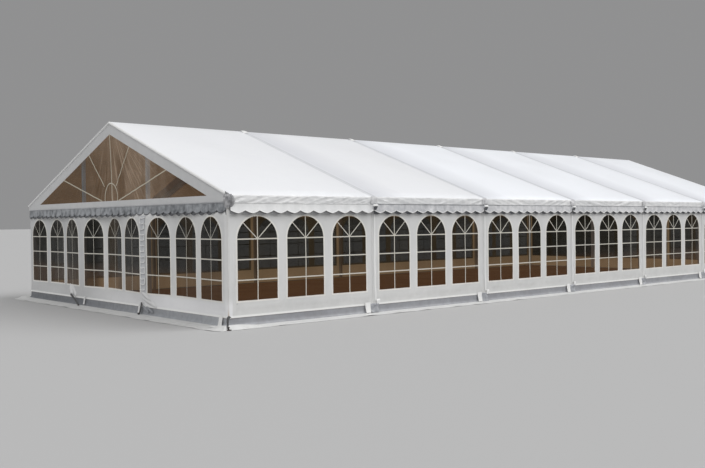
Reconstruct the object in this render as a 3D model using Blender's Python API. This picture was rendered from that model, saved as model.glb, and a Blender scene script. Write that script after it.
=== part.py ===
"""Frame marquee: six bays of an aluminium portal frame under PVC-coated sheets.

Metres, +Z up. The ridge runs along X and the span along Y. The origin is on the ground, in the
middle of the plan. Every sheet, purlin and upright is placed from the wall planes, from outside in.
"""

import math

import bmesh
import bpy
from mathutils import Matrix

# Plan and section
BAY = 3.0
BAYS = 6
SPAN = 9.0
GABLE_BAYS = 3
EAVE_HEIGHT = 2.19
RIDGE_HEIGHT = 3.765

# Sheets, and the gap left between pieces that touch
SHEET = 0.001
GAP = 0.0003

# Aluminium frame
LEG_DEPTH = 0.100
LEG_WIDTH = 0.050
RAFTER_DEPTH = 0.100
UPRIGHT_WIDTH = 0.090
UPRIGHT_DEPTH = 0.050
KNEE_LENGTH = 0.22
APEX_HALF_LENGTH = 0.34
KNUCKLE_HEIGHT = 0.16
END_CAP_THICKNESS = 0.012
END_CAP_DROP = 0.20
RIDGE_CAP_RISE = 0.022
RIDGE_CAP_HALF_LENGTH = 0.09
BASE_PLATE_MARGIN = 0.030
BASE_PLATE_THICKNESS = 0.008
EAVE_PURLIN_WIDTH = 0.060
EAVE_PURLIN_DEPTH = 0.070
RIDGE_PURLIN_SIDE = 0.060
GABLE_BEAM_DEPTH = 0.080
GABLE_BEAM_DROP = 0.040
BATTEN_DEPTH = 0.040
BATTEN_LAP = 0.004

# Walls and their arched windows
WALL_HEM = 0.200
WINDOW_WIDTH = 0.76
WINDOW_SILL = 0.44
WINDOW_HEAD_DROP = 0.352
WINDOW_SPRING = EAVE_HEIGHT - WINDOW_HEAD_DROP - WINDOW_WIDTH / 2
WINDOW_PITCH = 0.96
WINDOWS_PER_PANEL = 3
ARCH_STEPS = 12
CLEAR_LAP = 0.05

# Scalloped valances
VALANCE_NOTCH_DROP = 0.265
SCALLOP_DEPTH = 0.055
SCALLOP_WIDTH = 0.27
SCALLOP_STEPS = 5

# Gable triangle
GABLE_BAND_DROP = 0.25
GABLE_VALANCE_NOTCH_DROP = 0.265

# Ground skirt and floor
SKIRT_BAND_FOOT = 0.070
SKIRT_BEND_OUT = 0.060
SKIRT_BEND_HEIGHT = 0.018
SKIRT_FLARE = 0.280
FLOOR_THICKNESS = 0.020

# Planes, worked out from outside in; "out" is the distance from the middle of the plan
HALF_SPAN = SPAN / 2
HALF_LENGTH = BAY * BAYS / 2
WALL_INSIDE = SHEET
CLEAR_OUTSIDE = WALL_INSIDE + GAP
FRAME_FACE = CLEAR_OUTSIDE + SHEET + GAP
PURLIN_INSIDE = HALF_SPAN - WALL_INSIDE
PURLIN_OUTSIDE = PURLIN_INSIDE + EAVE_PURLIN_WIDTH
COVER_INSIDE = PURLIN_OUTSIDE + GAP
COVER_OUTSIDE = COVER_INSIDE + SHEET
KNUCKLE_OUTSIDE = PURLIN_INSIDE - GAP
LEG_OUTSIDE = HALF_SPAN - FRAME_FACE
LEG_INSIDE = LEG_OUTSIDE - LEG_DEPTH
GABLE_STRUCTURE_FACE = HALF_LENGTH - CLEAR_OUTSIDE
END_FRAME_OUTSIDE = GABLE_STRUCTURE_FACE - BATTEN_DEPTH
END_FRAME_INSIDE = END_FRAME_OUTSIDE - LEG_WIDTH
UPRIGHT_FACE = END_FRAME_OUTSIDE - BATTEN_LAP - GAP
UPRIGHT_INSIDE = UPRIGHT_FACE - UPRIGHT_DEPTH

# The roof line
ROOF_SLOPE = (RIDGE_HEIGHT - EAVE_HEIGHT) / COVER_OUTSIDE
ROOF_COSINE = math.cos(math.atan(ROOF_SLOPE))
COVER_DROP = (SHEET + GAP) / ROOF_COSINE
RAFTER_DROP = RAFTER_DEPTH / ROOF_COSINE
PURLIN_TOP = EAVE_HEIGHT - COVER_DROP
PURLIN_UNDERSIDE = PURLIN_TOP - EAVE_PURLIN_DEPTH
GABLE_BEAM_TOP = EAVE_HEIGHT - GABLE_BEAM_DROP
GABLE_BEAM_UNDERSIDE = GABLE_BEAM_TOP - GABLE_BEAM_DEPTH


def roof_height(out):
    """Top of the roof covers at a distance from the ridge line."""
    return RIDGE_HEIGHT - ROOF_SLOPE * abs(out)


def material(name, colour, roughness, metallic=0.0, alpha=1.0):
    made = bpy.data.materials.new(name)
    made.use_nodes = True
    shader = made.node_tree.nodes["Principled BSDF"]
    shader.inputs["Base Color"].default_value = (*colour, 1.0)
    shader.inputs["Roughness"].default_value = roughness
    shader.inputs["Metallic"].default_value = metallic
    shader.inputs["Alpha"].default_value = alpha
    made.diffuse_color = (*colour, alpha)
    return made


def place(name, data, finish, location=(0, 0, 0), turn=0.0):
    """Adds a named object, with its own copy of the finish, turned about Z in degrees."""
    made = bpy.data.objects.new(name, data)
    bpy.context.scene.collection.objects.link(made)
    made.location = location
    made.rotation_euler = (0, 0, math.radians(turn))
    if not data.materials:
        data.materials.append(finish)
    return made


def mesh_from(name, work):
    bmesh.ops.recalc_face_normals(work, faces=work.faces[:])
    data = bpy.data.meshes.new(name)
    work.to_mesh(data)
    work.free()
    return data


def upright_plate(name, loops, thickness):
    """A flat plate standing in the XZ plane, from y = 0 to y = thickness. The first loop of
    (x, z) points is its outline and the others are holes."""
    work = bmesh.new()
    for loop in loops:
        corners = [work.verts.new((x, 0, z)) for x, z in loop]
        for start, end in zip(corners, corners[1:] + corners[:1]):
            work.edges.new((start, end))
    bmesh.ops.triangle_fill(work, use_beauty=True, edges=work.edges[:], normal=(0, -1, 0))
    grown = bmesh.ops.extrude_face_region(work, geom=work.faces[:])["geom"]
    moved = [part for part in grown if isinstance(part, bmesh.types.BMVert)]
    bmesh.ops.translate(work, verts=moved, vec=(0, thickness, 0))
    return mesh_from(name, work)


def box(name, low, high):
    work = bmesh.new()
    size = [top - bottom for bottom, top in zip(low, high)]
    middle = [(top + bottom) / 2 for bottom, top in zip(low, high)]
    bmesh.ops.create_cube(work, size=1.0, matrix=Matrix.LocRotScale(middle, None, size))
    return mesh_from(name, work)


def boxes(name, pairs):
    """Several boxes that stand apart, in one mesh; used only as a Boolean's tool."""
    work = bmesh.new()
    for low, high in pairs:
        size = [top - bottom for bottom, top in zip(low, high)]
        middle = [(top + bottom) / 2 for bottom, top in zip(low, high)]
        bmesh.ops.create_cube(work, size=1.0, matrix=Matrix.LocRotScale(middle, None, size))
    return mesh_from(name, work)


def mitred_strip(name, profile, half_run, reach):
    """A strip along X at y = -reach, with ends mitred to meet the strips round the corners. The
    profile is a loop of (out, z) points, with out measured outwards from the wall plane."""
    work = bmesh.new()
    rows = []
    for out, z in profile:
        end = half_run + out - GAP
        rows.append([work.verts.new((x, -reach - out, z)) for x in (-end, end)])
    for row, following in zip(rows, rows[1:] + rows[:1]):
        work.faces.new((row[0], row[1], following[1], following[0]))
    for index in (0, 1):
        work.faces.new([row[index] for row in rows])
    return mesh_from(name, work)


def union(target, tool):
    """Joins a tool mesh to an object, and hides the tool."""
    helper = bpy.data.objects.new(target.name + "_addition", tool)
    bpy.context.scene.collection.objects.link(helper)
    helper.location = target.location
    helper.rotation_euler = target.rotation_euler
    helper.hide_render = True
    helper.display_type = "WIRE"
    modifier = target.modifiers.new("joined piece", "BOOLEAN")
    modifier.operation = "UNION"
    modifier.object = helper


def portal_half(top_drop, has_end_cap):
    """Right half of a portal's outline, from the ridge down the outside and back up the inside."""
    def top(out):
        return roof_height(out) - top_drop

    def underside(out):
        return roof_height(out) - top_drop - RAFTER_DROP

    points = []
    if has_end_cap:
        points += [(0, RIDGE_HEIGHT + RIDGE_CAP_RISE)]
        cap_end = roof_height(RIDGE_CAP_HALF_LENGTH) + RIDGE_CAP_RISE
        points += [(RIDGE_CAP_HALF_LENGTH, cap_end)]
        points += [(RIDGE_CAP_HALF_LENGTH, top(RIDGE_CAP_HALF_LENGTH))]
        cap_outside = COVER_INSIDE + END_CAP_THICKNESS
        points += [(cap_outside, top(cap_outside)), (cap_outside, EAVE_HEIGHT - END_CAP_DROP)]
        points += [(COVER_INSIDE, EAVE_HEIGHT - END_CAP_DROP), (COVER_INSIDE, PURLIN_TOP + GAP)]
        points += [(KNUCKLE_OUTSIDE, PURLIN_TOP + GAP)]
    else:
        points += [(0, top(0)), (KNUCKLE_OUTSIDE, top(KNUCKLE_OUTSIDE))]
    knuckle_foot = PURLIN_UNDERSIDE - KNUCKLE_HEIGHT + EAVE_PURLIN_DEPTH
    points += [(KNUCKLE_OUTSIDE, knuckle_foot), (LEG_OUTSIDE, knuckle_foot)]
    points += [(LEG_OUTSIDE, 0), (LEG_INSIDE, 0)]
    points += [(LEG_INSIDE, underside(LEG_INSIDE) - KNEE_LENGTH)]
    knee_reach = LEG_INSIDE - KNEE_LENGTH
    points += [(knee_reach, underside(knee_reach))]
    points += [(APEX_HALF_LENGTH, underside(APEX_HALF_LENGTH))]
    return points


def portal_outline(top_drop, has_end_cap):
    """The whole loop: down the right-hand side, along the apex plate and back up the left."""
    half = portal_half(top_drop, has_end_cap)
    return half + [(-out, z) for out, z in reversed(half[1:])]


def foot_plates(lines, across, thick):
    """Base plates under uprights that stand at y = each line."""
    reach_x = thick / 2 + BASE_PLATE_MARGIN
    reach_y = across / 2 + BASE_PLATE_MARGIN
    return [
        ((-reach_x, line - reach_y, 0), (reach_x, line + reach_y, BASE_PLATE_THICKNESS))
        for line in lines
    ]


def across_span(name, loops, thickness):
    """A plate standing across the span, from x = -thickness / 2 to thickness / 2."""
    data = upright_plate(name, loops, thickness)
    data.transform(Matrix.Translation((thickness / 2, 0, 0)) @ Matrix.Rotation(math.pi / 2, 4, "Z"))
    return data


def build_portals():
    """Five inner portals, which the ridge purlin runs through, and a braced one at each end."""
    leg_line = (LEG_OUTSIDE + LEG_INSIDE) / 2
    plates = boxes("leg_foot_plates", foot_plates((-leg_line, leg_line), LEG_DEPTH, LEG_WIDTH))
    pocket_reach = RIDGE_PURLIN_SIDE / 2 + GAP
    top, foot = RIDGE_PURLIN_TOP + GAP, RIDGE_PURLIN_TOP - RIDGE_PURLIN_SIDE - GAP
    pocket = [(-pocket_reach, foot), (pocket_reach, foot), (pocket_reach, top), (-pocket_reach, top)]
    inner = across_span("inner_portal", [portal_outline(0.0, True), pocket], LEG_WIDTH)
    for line in range(1, BAYS):
        made = place(f"portal_frame_{line}", inner, ALUMINIUM, (line * BAY - HALF_LENGTH, 0, 0))
        union(made, plates)

    end = across_span("end_portal", [portal_outline(COVER_DROP, False)], LEG_WIDTH)
    batten_depth = BATTEN_DEPTH + BATTEN_LAP
    battens = across_span("gable_battens", gable_batten_loops(), batten_depth)
    batten_middle = GABLE_STRUCTURE_FACE - batten_depth / 2
    end_middle = END_FRAME_OUTSIDE - LEG_WIDTH / 2
    battens.transform(Matrix.Translation((batten_middle - end_middle, 0, 0)))
    for name, turn in (("left_end_frame", 180), ("right_end_frame", 0)):
        side = 1 if turn == 0 else -1
        made = place(name, end, ALUMINIUM, (side * end_middle, 0, 0), turn)
        union(made, plates)
        union(made, battens)


def gable_batten_loops():
    """The battens that carry a gable's sheets: one under each slope, and the beam at the eaves."""
    def top(out):
        return roof_height(out) - COVER_DROP

    outline = [(0, top(0)), (KNUCKLE_OUTSIDE, top(KNUCKLE_OUTSIDE))]
    outline += [(KNUCKLE_OUTSIDE, GABLE_BEAM_UNDERSIDE)]
    outline += [(-out, z) for out, z in reversed(outline[1:])]
    inner_apex = top(0) - RAFTER_DROP
    reach = (inner_apex - GABLE_BEAM_TOP) / ROOF_SLOPE
    hole = [(0, inner_apex), (reach, GABLE_BEAM_TOP), (-reach, GABLE_BEAM_TOP)]
    return [outline, hole]


def build_gable_uprights():
    """Two uprights in each gable, from a base plate up to the rafter."""
    thickness = UPRIGHT_DEPTH
    middle = UPRIGHT_FACE - thickness / 2
    plates = boxes("upright_foot_plates", foot_plates((0,), UPRIGHT_WIDTH, thickness))
    for side, label in ((-1, "left"), (1, "right")):
        for line in range(1, GABLE_BAYS):
            y = line * SPAN / GABLE_BAYS - HALF_SPAN
            half = UPRIGHT_WIDTH / 2
            ends = [roof_height(y + reach) - COVER_DROP - RAFTER_DROP - GAP for reach in (half, -half)]
            outline = [(-half, 0), (half, 0), (half, ends[0]), (-half, ends[1])]
            data = across_span(f"upright_{label}_{line}", [outline], thickness)
            made = place(f"{label}_gable_upright_{line}", data, ALUMINIUM, (side * middle, y, 0))
            union(made, plates)


def build_purlins():
    """The ridge purlin, held between the portals' apex plates, and the two eave purlins."""
    half, inside = RIDGE_PURLIN_SIDE / 2, END_FRAME_INSIDE - GAP
    low = (-inside, -half, RIDGE_PURLIN_TOP - RIDGE_PURLIN_SIDE)
    place("ridge_purlin", box("ridge_purlin", low, (inside, half, RIDGE_PURLIN_TOP)), ALUMINIUM)

    low = (-HALF_LENGTH, -PURLIN_OUTSIDE, PURLIN_UNDERSIDE)
    eave = box("eave_purlin", low, (HALF_LENGTH, -PURLIN_INSIDE, PURLIN_TOP))
    place("front_eave_purlin", eave, ALUMINIUM)
    place("rear_eave_purlin", eave, ALUMINIUM, turn=180)


def arched_window(middle):
    """One window's outline: a straight-sided opening under a half-round head."""
    radius = WINDOW_WIDTH / 2
    points = [(middle - radius, WINDOW_SILL), (middle + radius, WINDOW_SILL)]
    for step in range(ARCH_STEPS + 1):
        angle = math.pi * step / ARCH_STEPS
        points.append((middle + radius * math.cos(angle), WINDOW_SPRING + radius * math.sin(angle)))
    return points


def window_panel(name, width, top):
    """A wall sheet of one bay, hung from top down to the hem, with its windows cut out."""
    half = width / 2
    outline = [(-half, WALL_HEM), (half, WALL_HEM), (half, top), (-half, top)]
    first = -(WINDOWS_PER_PANEL - 1) / 2
    windows = [arched_window((first + index) * WINDOW_PITCH) for index in range(WINDOWS_PER_PANEL)]
    return upright_plate(name, [outline] + windows, SHEET)


def clear_sheet(name, half, out):
    """The clear sheet behind one whole wall, a lap wider and taller than its windows."""
    low = (-half, -out + CLEAR_OUTSIDE, WINDOW_SILL - CLEAR_LAP)
    high = (half, -out + CLEAR_OUTSIDE + SHEET, WINDOW_SPRING + WINDOW_WIDTH / 2 + CLEAR_LAP)
    return box(name, low, high)


def build_walls():
    """A sheet for each bay of the long walls and the gables, and a clear sheet behind each wall."""
    panel = window_panel("side_panel", BAY - GAP, PURLIN_UNDERSIDE - GAP)
    for label, turn in (("front", 0), ("rear", 180)):
        side = -1 if turn == 0 else 1
        for bay in range(BAYS):
            x = side * -1 * ((bay + 0.5) * BAY - HALF_LENGTH)
            place(f"{label}_wall_{bay + 1}", panel, WHITE_SHEET, (x, side * HALF_SPAN, 0), turn)
        clear = clear_sheet(f"{label}_clear", END_FRAME_OUTSIDE, HALF_SPAN)
        place(f"{label}_window_sheet", clear, CLEAR, turn=turn)

    room = SPAN - 2 * (WALL_INSIDE + GAP)
    panel = window_panel("gable_panel", room / GABLE_BAYS - GAP, GABLE_BEAM_TOP)
    for label, turn in (("left", -90), ("right", 90)):
        side = -1 if turn < 0 else 1
        for bay in range(GABLE_BAYS):
            y = side * ((bay + 0.5) / GABLE_BAYS - 0.5) * room
            place(f"{label}_gable_wall_{bay + 1}", panel, WHITE_SHEET, (side * HALF_LENGTH, y, 0), turn)
        clear = clear_sheet(f"{label}_gable_clear", LEG_OUTSIDE, HALF_LENGTH)
        place(f"{label}_gable_window_sheet", clear, CLEAR, turn=turn)


def scalloped_edge(start, end, notch_height):
    """Points along a valance's foot, from start to end: round lobes that hang from the notches."""
    count = max(1, round(abs(end - start) / SCALLOP_WIDTH))
    points = []
    for index in range(count):
        for step in range(SCALLOP_STEPS):
            share = step / SCALLOP_STEPS
            along = start + (end - start) * (index + share) / count
            points.append((along, notch_height - SCALLOP_DEPTH * math.sin(math.pi * share)))
    points.append((end, notch_height))
    return points


def roof_cover(name, low_x, high_x):
    """One bay's cover: a sheet over both slopes that turns down at the eaves into a valance."""
    work = bmesh.new()
    ridge = [work.verts.new((x, 0, RIDGE_HEIGHT)) for x in (low_x, high_x)]
    for side in (-1, 1):
        eave = [work.verts.new((x, side * COVER_OUTSIDE, EAVE_HEIGHT)) for x in (low_x, high_x)]
        foot = [
            work.verts.new((x, side * COVER_OUTSIDE, z))
            for x, z in scalloped_edge(low_x, high_x, EAVE_HEIGHT - VALANCE_NOTCH_DROP)
        ]
        slope = [ridge[0], ridge[1], eave[1], eave[0]]
        drop = [eave[0], eave[1]] + foot[::-1]
        if side < 0:
            slope.reverse()
            drop.reverse()
        work.faces.new(slope[::-1])
        work.faces.new(drop[::-1])
    data = bpy.data.meshes.new(name)
    work.to_mesh(data)
    work.free()
    return data


def build_roof():
    """The covers run between the portals, and over the end portals to the gables."""
    for bay in range(BAYS):
        low = bay * BAY - HALF_LENGTH
        low_x = low if bay == 0 else low + LEG_WIDTH / 2 + GAP
        high_x = low + BAY if bay == BAYS - 1 else low + BAY - LEG_WIDTH / 2 - GAP
        made = place(f"roof_cover_{bay + 1}", roof_cover("roof_cover", low_x, high_x), WHITE_SHEET)
        modifier = made.modifiers.new("sheet", "SOLIDIFY")
        modifier.thickness = SHEET
        modifier.offset = -1
        modifier.use_even_offset = True


def build_gables():
    """A white border with a scalloped valance round each gable's clear triangle."""
    notch = EAVE_HEIGHT - GABLE_VALANCE_NOTCH_DROP
    outline = [(0, RIDGE_HEIGHT)] + [(COVER_OUTSIDE, EAVE_HEIGHT)]
    outline += scalloped_edge(COVER_OUTSIDE, -COVER_OUTSIDE, notch) + [(-COVER_OUTSIDE, EAVE_HEIGHT)]
    apex = RIDGE_HEIGHT - GABLE_BAND_DROP
    reach = (apex - EAVE_HEIGHT) / ROOF_SLOPE
    hole = [(-reach, EAVE_HEIGHT), (reach, EAVE_HEIGHT), (0, apex)]
    border = upright_plate("gable_border", [outline, hole], SHEET)

    sink = GAP / ROOF_COSINE
    clear_apex = apex - sink
    clear_foot = EAVE_HEIGHT + GAP
    clear_reach = (clear_apex - clear_foot) / ROOF_SLOPE
    triangle = [(-clear_reach, clear_foot), (clear_reach, clear_foot), (0, clear_apex)]
    clear = upright_plate("gable_clear", [triangle], SHEET)
    out = HALF_LENGTH + GAP + SHEET
    for label, side in (("left", -1), ("right", 1)):
        place(f"{label}_gable_border", border, WHITE_SHEET, (side * out, 0, 0), side * 90)
        place(f"{label}_gable_clear_sheet", clear, CLEAR, (side * out, 0, 0), side * 90)


def build_ground():
    """The skirt that hangs from the wall hems and lies out on the ground, and the floor."""
    top = WALL_HEM - GAP
    face = [(0, top), (0, SKIRT_BAND_FOOT), (SKIRT_BEND_OUT, SKIRT_BEND_HEIGHT), (SKIRT_FLARE, SHEET)]
    back = [(SKIRT_FLARE, 0), (SKIRT_BEND_OUT, SKIRT_BEND_HEIGHT - SHEET)]
    back += [(-SHEET, SKIRT_BAND_FOOT - SHEET), (-SHEET, top)]
    long_strip = mitred_strip("long_skirt", face + back, HALF_LENGTH, HALF_SPAN)
    short_strip = mitred_strip("short_skirt", face + back, HALF_SPAN, HALF_LENGTH)
    place("front_skirt", long_strip, GREY_SHEET)
    place("rear_skirt", long_strip, GREY_SHEET, turn=180)
    place("left_skirt", short_strip, GREY_SHEET, turn=-90)
    place("right_skirt", short_strip, GREY_SHEET, turn=90)

    half_x = UPRIGHT_INSIDE - BASE_PLATE_MARGIN - GAP
    half_y = LEG_INSIDE - BASE_PLATE_MARGIN - GAP
    floor = box("floor", (-half_x, -half_y, 0), (half_x, half_y, FLOOR_THICKNESS))
    place("floor", floor, MATTING)


for leftover in list(bpy.data.objects):
    bpy.data.objects.remove(leftover)

RIDGE_PURLIN_TOP = roof_height(RIDGE_PURLIN_SIDE / 2) - COVER_DROP
WHITE_SHEET = material("white PVC sheet", (0.80, 0.80, 0.79), 0.45)
GREY_SHEET = material("grey PVC sheet", (0.42, 0.43, 0.46), 0.5)
CLEAR = material("clear PVC sheet", (0.55, 0.52, 0.47), 0.12, alpha=0.35)
ALUMINIUM = material("aluminium profile", (0.62, 0.64, 0.66), 0.38, metallic=0.9)
MATTING = material("brown matting", (0.17, 0.10, 0.06), 0.95)

build_portals()
build_gable_uprights()
build_purlins()
build_walls()
build_roof()
build_gables()
build_ground()
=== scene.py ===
import math

import bpy
import numpy as np
from mathutils import Matrix, Vector, noise


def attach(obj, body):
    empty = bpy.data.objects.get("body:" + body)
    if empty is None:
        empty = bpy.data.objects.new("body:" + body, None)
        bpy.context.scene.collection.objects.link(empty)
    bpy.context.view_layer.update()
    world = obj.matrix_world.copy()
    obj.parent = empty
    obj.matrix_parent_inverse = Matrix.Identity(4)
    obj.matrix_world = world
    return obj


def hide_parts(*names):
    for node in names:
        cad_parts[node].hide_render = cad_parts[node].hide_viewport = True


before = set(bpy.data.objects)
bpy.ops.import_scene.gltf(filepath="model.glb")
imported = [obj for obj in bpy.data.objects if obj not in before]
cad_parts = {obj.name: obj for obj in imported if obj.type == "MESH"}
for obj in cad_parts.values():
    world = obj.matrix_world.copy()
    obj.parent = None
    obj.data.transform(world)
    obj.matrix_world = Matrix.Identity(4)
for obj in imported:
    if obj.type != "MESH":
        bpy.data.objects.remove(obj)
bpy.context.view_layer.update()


# The frame: seven portals of extruded aluminium profile, with purlins bolted between them and
# two uprights in each gable. The metal is mill-finished, so it is dull and pale, drawn along its
# length with faint lines, and greyer where dirt has dried on it.
class Value:
    """One output in a material. Sums written on it become Math nodes."""

    def __init__(self, finish, socket):
        self.finish = finish
        self.socket = socket

    def __add__(self, other):
        return self.finish.sum("ADD", self, other)

    def __sub__(self, other):
        return self.finish.sum("SUBTRACT", self, other)

    def __rsub__(self, other):
        return self.finish.sum("SUBTRACT", other, self)

    def __mul__(self, other):
        return self.finish.sum("MULTIPLY", self, other)

    def __truediv__(self, other):
        return self.finish.sum("DIVIDE", self, other)

    __radd__ = __add__
    __rmul__ = __mul__

    def size(self):
        """The value without its sign."""
        return self.finish.sum("ABSOLUTE", self)

    def limited(self):
        """The value held between 0 and 1."""
        return self.finish.node("ShaderNodeClamp", {}, {"Value": self})


class Finish:
    """A material with one Principled shader. node() adds any node to it."""

    def __init__(self, name, **shader_values):
        self.material = bpy.data.materials.new(name)
        self.material.use_nodes = True
        self.tree = self.material.node_tree
        self.shader = self.tree.nodes["Principled BSDF"]
        for socket, value in shader_values.items():
            self.feed(self.shader.inputs[socket.replace("_", " ")], value)

    def feed(self, socket, value):
        if isinstance(value, Value):
            self.tree.links.new(value.socket, socket)
        elif socket.type == "RGBA" and len(value) == 3:
            socket.default_value = (*value, 1.0)
        else:
            socket.default_value = value

    def node(self, kind, settings, sockets, output=0):
        made = self.tree.nodes.new(kind)
        for setting, choice in settings.items():
            setattr(made, setting, choice)
        for socket, value in sockets.items():
            self.feed(made.inputs[socket], value)
        return Value(self, made.outputs[output])

    def sum(self, operation, *values):
        return self.node("ShaderNodeMath", {"operation": operation}, dict(enumerate(values)))

    def place(self, scale=(1, 1, 1)):
        """The point on the object, in metres, stretched by a scale along each axis."""
        point = self.node("ShaderNodeTexCoord", {}, {}, "Object")
        return self.node("ShaderNodeVectorMath", {"operation": "MULTIPLY"}, {0: point, 1: scale})

    def axis(self, letter):
        return self.node("ShaderNodeSeparateXYZ", {}, {0: self.place()}, letter)

    def noise(self, scale, stretch=(1, 1, 1), detail=3.0, roughness=0.55):
        sockets = {"Vector": self.place(stretch), "Scale": scale, "Detail": detail}
        sockets["Roughness"] = roughness
        return self.node("ShaderNodeTexNoise", {}, sockets)

    def blend(self, amount, first, second):
        sockets = {0: amount, 6: first, 7: second}
        return self.node("ShaderNodeMix", {"data_type": "RGBA"}, sockets, 2)

    def bump(self, height, distance, strength=1.0):
        sockets = {"Height": height, "Distance": distance, "Strength": strength}
        self.feed(self.shader.inputs["Normal"], self.node("ShaderNodeBump", {}, sockets))

    def colour(self, value):
        self.feed(self.shader.inputs["Base Color"], value)

    def stain(self, amount, over):
        """Blends one more colour over the colour that the shader has so far."""
        so_far = Value(self, self.shader.inputs["Base Color"].links[0].from_socket)
        self.colour(self.blend(amount, so_far, over))

    def glow(self, value):
        self.feed(self.shader.inputs["Emission Color"], value)

    def roughness(self, value):
        self.feed(self.shader.inputs["Roughness"], value)


def metal_finish(name, painted_glow):
    """Mill-finished profile. It glows a little: painted light standing in for the light that reaches it
    through the sheets.
    """
    metal = Finish(name, Metallic=0.12, Emission_Strength=painted_glow)
    cloudy = metal.noise(3.0, detail=5.0)
    drawn = metal.noise(9.0, (0.6, 0.6, 14.0), detail=2.0)
    dirt = ((0.30 - metal.axis("Z")) * 3.0 * cloudy).limited()
    clean_metal = metal.blend((cloudy * 1.6 - 0.3).limited(), (0.72, 0.73, 0.75), (0.58, 0.59, 0.61))
    metal.colour(clean_metal)
    metal.stain(dirt, (0.17, 0.15, 0.12))
    metal.glow(clean_metal)
    metal.roughness(0.34 + drawn * 0.28)
    metal.bump(drawn, 0.0006)
    return metal


def dress(finish, nodes):
    """Gives a finish to CAD nodes whose shapes stay as they are."""
    for node in nodes:
        for material_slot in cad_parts[node].material_slots:
            material_slot.material = finish.material


BAY = 3.0
BAYS = 6
FRAME_NODES = ["ridge_purlin", "front_eave_purlin", "rear_eave_purlin", "left_end_frame", "right_end_frame"]
FRAME_NODES += [f"portal_frame_{line}" for line in range(1, BAYS)]
UPRIGHT_NODES = [f"{end}_gable_upright_{number}" for end in ("left", "right") for number in (1, 2)]
# Both finishes glow faintly as painted light; the uprights behind the clear gable sheets glow more.
dress(metal_finish("aluminium_profile", 0.03), FRAME_NODES)
dress(metal_finish("aluminium_upright", 0.15), UPRIGHT_NODES)


# The floor: brown rib matting laid over the whole room in lengths two metres wide, side by side.
# Its pile is coarse, paler where it is trodden, and dark along the joins.
MATTING_WIDTH = 2.0
RIB_PITCH = 0.012

matting = Finish("brown_matting")
across = matting.axis("Y")
from_join = matting.sum("PINGPONG", across, MATTING_WIDTH / 2)
join = (1.0 - from_join * 60.0).limited()
ribs = matting.sum("PINGPONG", across, RIB_PITCH / 2) / (RIB_PITCH / 2)
pile = matting.noise(90.0, detail=4.0, roughness=0.7)
patches = matting.noise(0.9, detail=3.0)
matting.colour(matting.blend(pile, (0.46, 0.225, 0.110), (0.78, 0.42, 0.215)))
matting.stain((patches * 1.8 - 0.6).limited(), (0.80, 0.49, 0.250))
matting.stain(join, (0.16, 0.075, 0.035))
matting.roughness(0.86 + pile * 0.12)
matting.bump(ribs + pile * 0.8, 0.003)
dress(matting, ["floor"])


# The roof covers: one welded length of white PVC-coated polyester for each bay, drawn through
# the portals' channels over the ridge to the far eave, and tensioned over the eave purlins.
# Outside they are satin white; inside they are painted tan and made to glow: painted light for the sky's
# light coming through them.
SHEET = 0.001
CREASE_ANGLE = 35
HALF_LENGTH = BAY * BAYS / 2
HALF_SPAN = 4.5
EAVE_OUT = 4.5603
EAVE_HEIGHT = 2.19
RIDGE_HEIGHT = 3.765
ROOF_SLOPE = (RIDGE_HEIGHT - EAVE_HEIGHT) / EAVE_OUT
CHANNEL_HALF = 0.0253
EAVE_BEND = 0.006
RIDGE_BEND = 0.03
BAND_FOOT = 2.055
BAND_TOP = EAVE_HEIGHT - EAVE_BEND * 0.1
BAND_WRINKLE = 0.014
BAND_LIP = 0.007
PILLOW_RISE = 0.075
SHOULDER_PEAK = 0.012
BAND_ROWS, SLOPE_ROWS = 10, 20
COVER_COLUMNS, HEM_COLUMNS = 92, 6


def roof_height(out):
    """The taut cover's height at a distance from the ridge."""
    return RIDGE_HEIGHT - ROOF_SLOPE * abs(out)


def ripple(u, v, seed):
    """Smooth bumps from -1 to 1, the same every run."""
    return noise.noise(Vector((u, v, seed * 7.31)))


def eased(share):
    """A share held between 0 and 1, with a soft start and a soft end."""
    share = min(1.0, max(0.0, share))
    return share * share * (3 - 2 * share)


def grid_faces(columns, rows):
    """Faces of a grid of points that is stored row by row."""
    faces = []
    for row in range(rows - 1):
        for column in range(columns - 1):
            corner = row * columns + column
            faces.append((corner, corner + 1, corner + columns + 1, corner + columns))
    return faces


def piece_from(name, points, faces, finishes, marks=None):
    """An object from points and faces, smooth-shaded apart from its sharp creases."""
    data = bpy.data.meshes.new(name)
    data.from_pydata([tuple(point) for point in points], [], faces)
    for finish in finishes:
        data.materials.append(finish.material)
    if marks:
        data.polygons.foreach_set("material_index", marks)
    data.shade_smooth()
    data.set_sharp_from_angle(angle=math.radians(CREASE_ANGLE))
    data.validate()
    data.update()
    made = bpy.data.objects.new(name, data)
    bpy.context.scene.collection.objects.link(made)
    return made


def point_normals(points, faces):
    """The way that the cloth faces at each point, from the faces round it."""
    normals = np.zeros_like(points)
    for face in faces:
        a, b, c = points[face[0]], points[face[1]], points[face[2]]
        turn = np.cross(b - a, c - a)
        if len(face) == 4:
            turn = turn + np.cross(c - a, points[face[3]] - a)
        for index in face:
            normals[index] += turn
    lengths = np.linalg.norm(normals, axis=1, keepdims=True)
    return normals / np.maximum(lengths, 1e-12)


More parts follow.
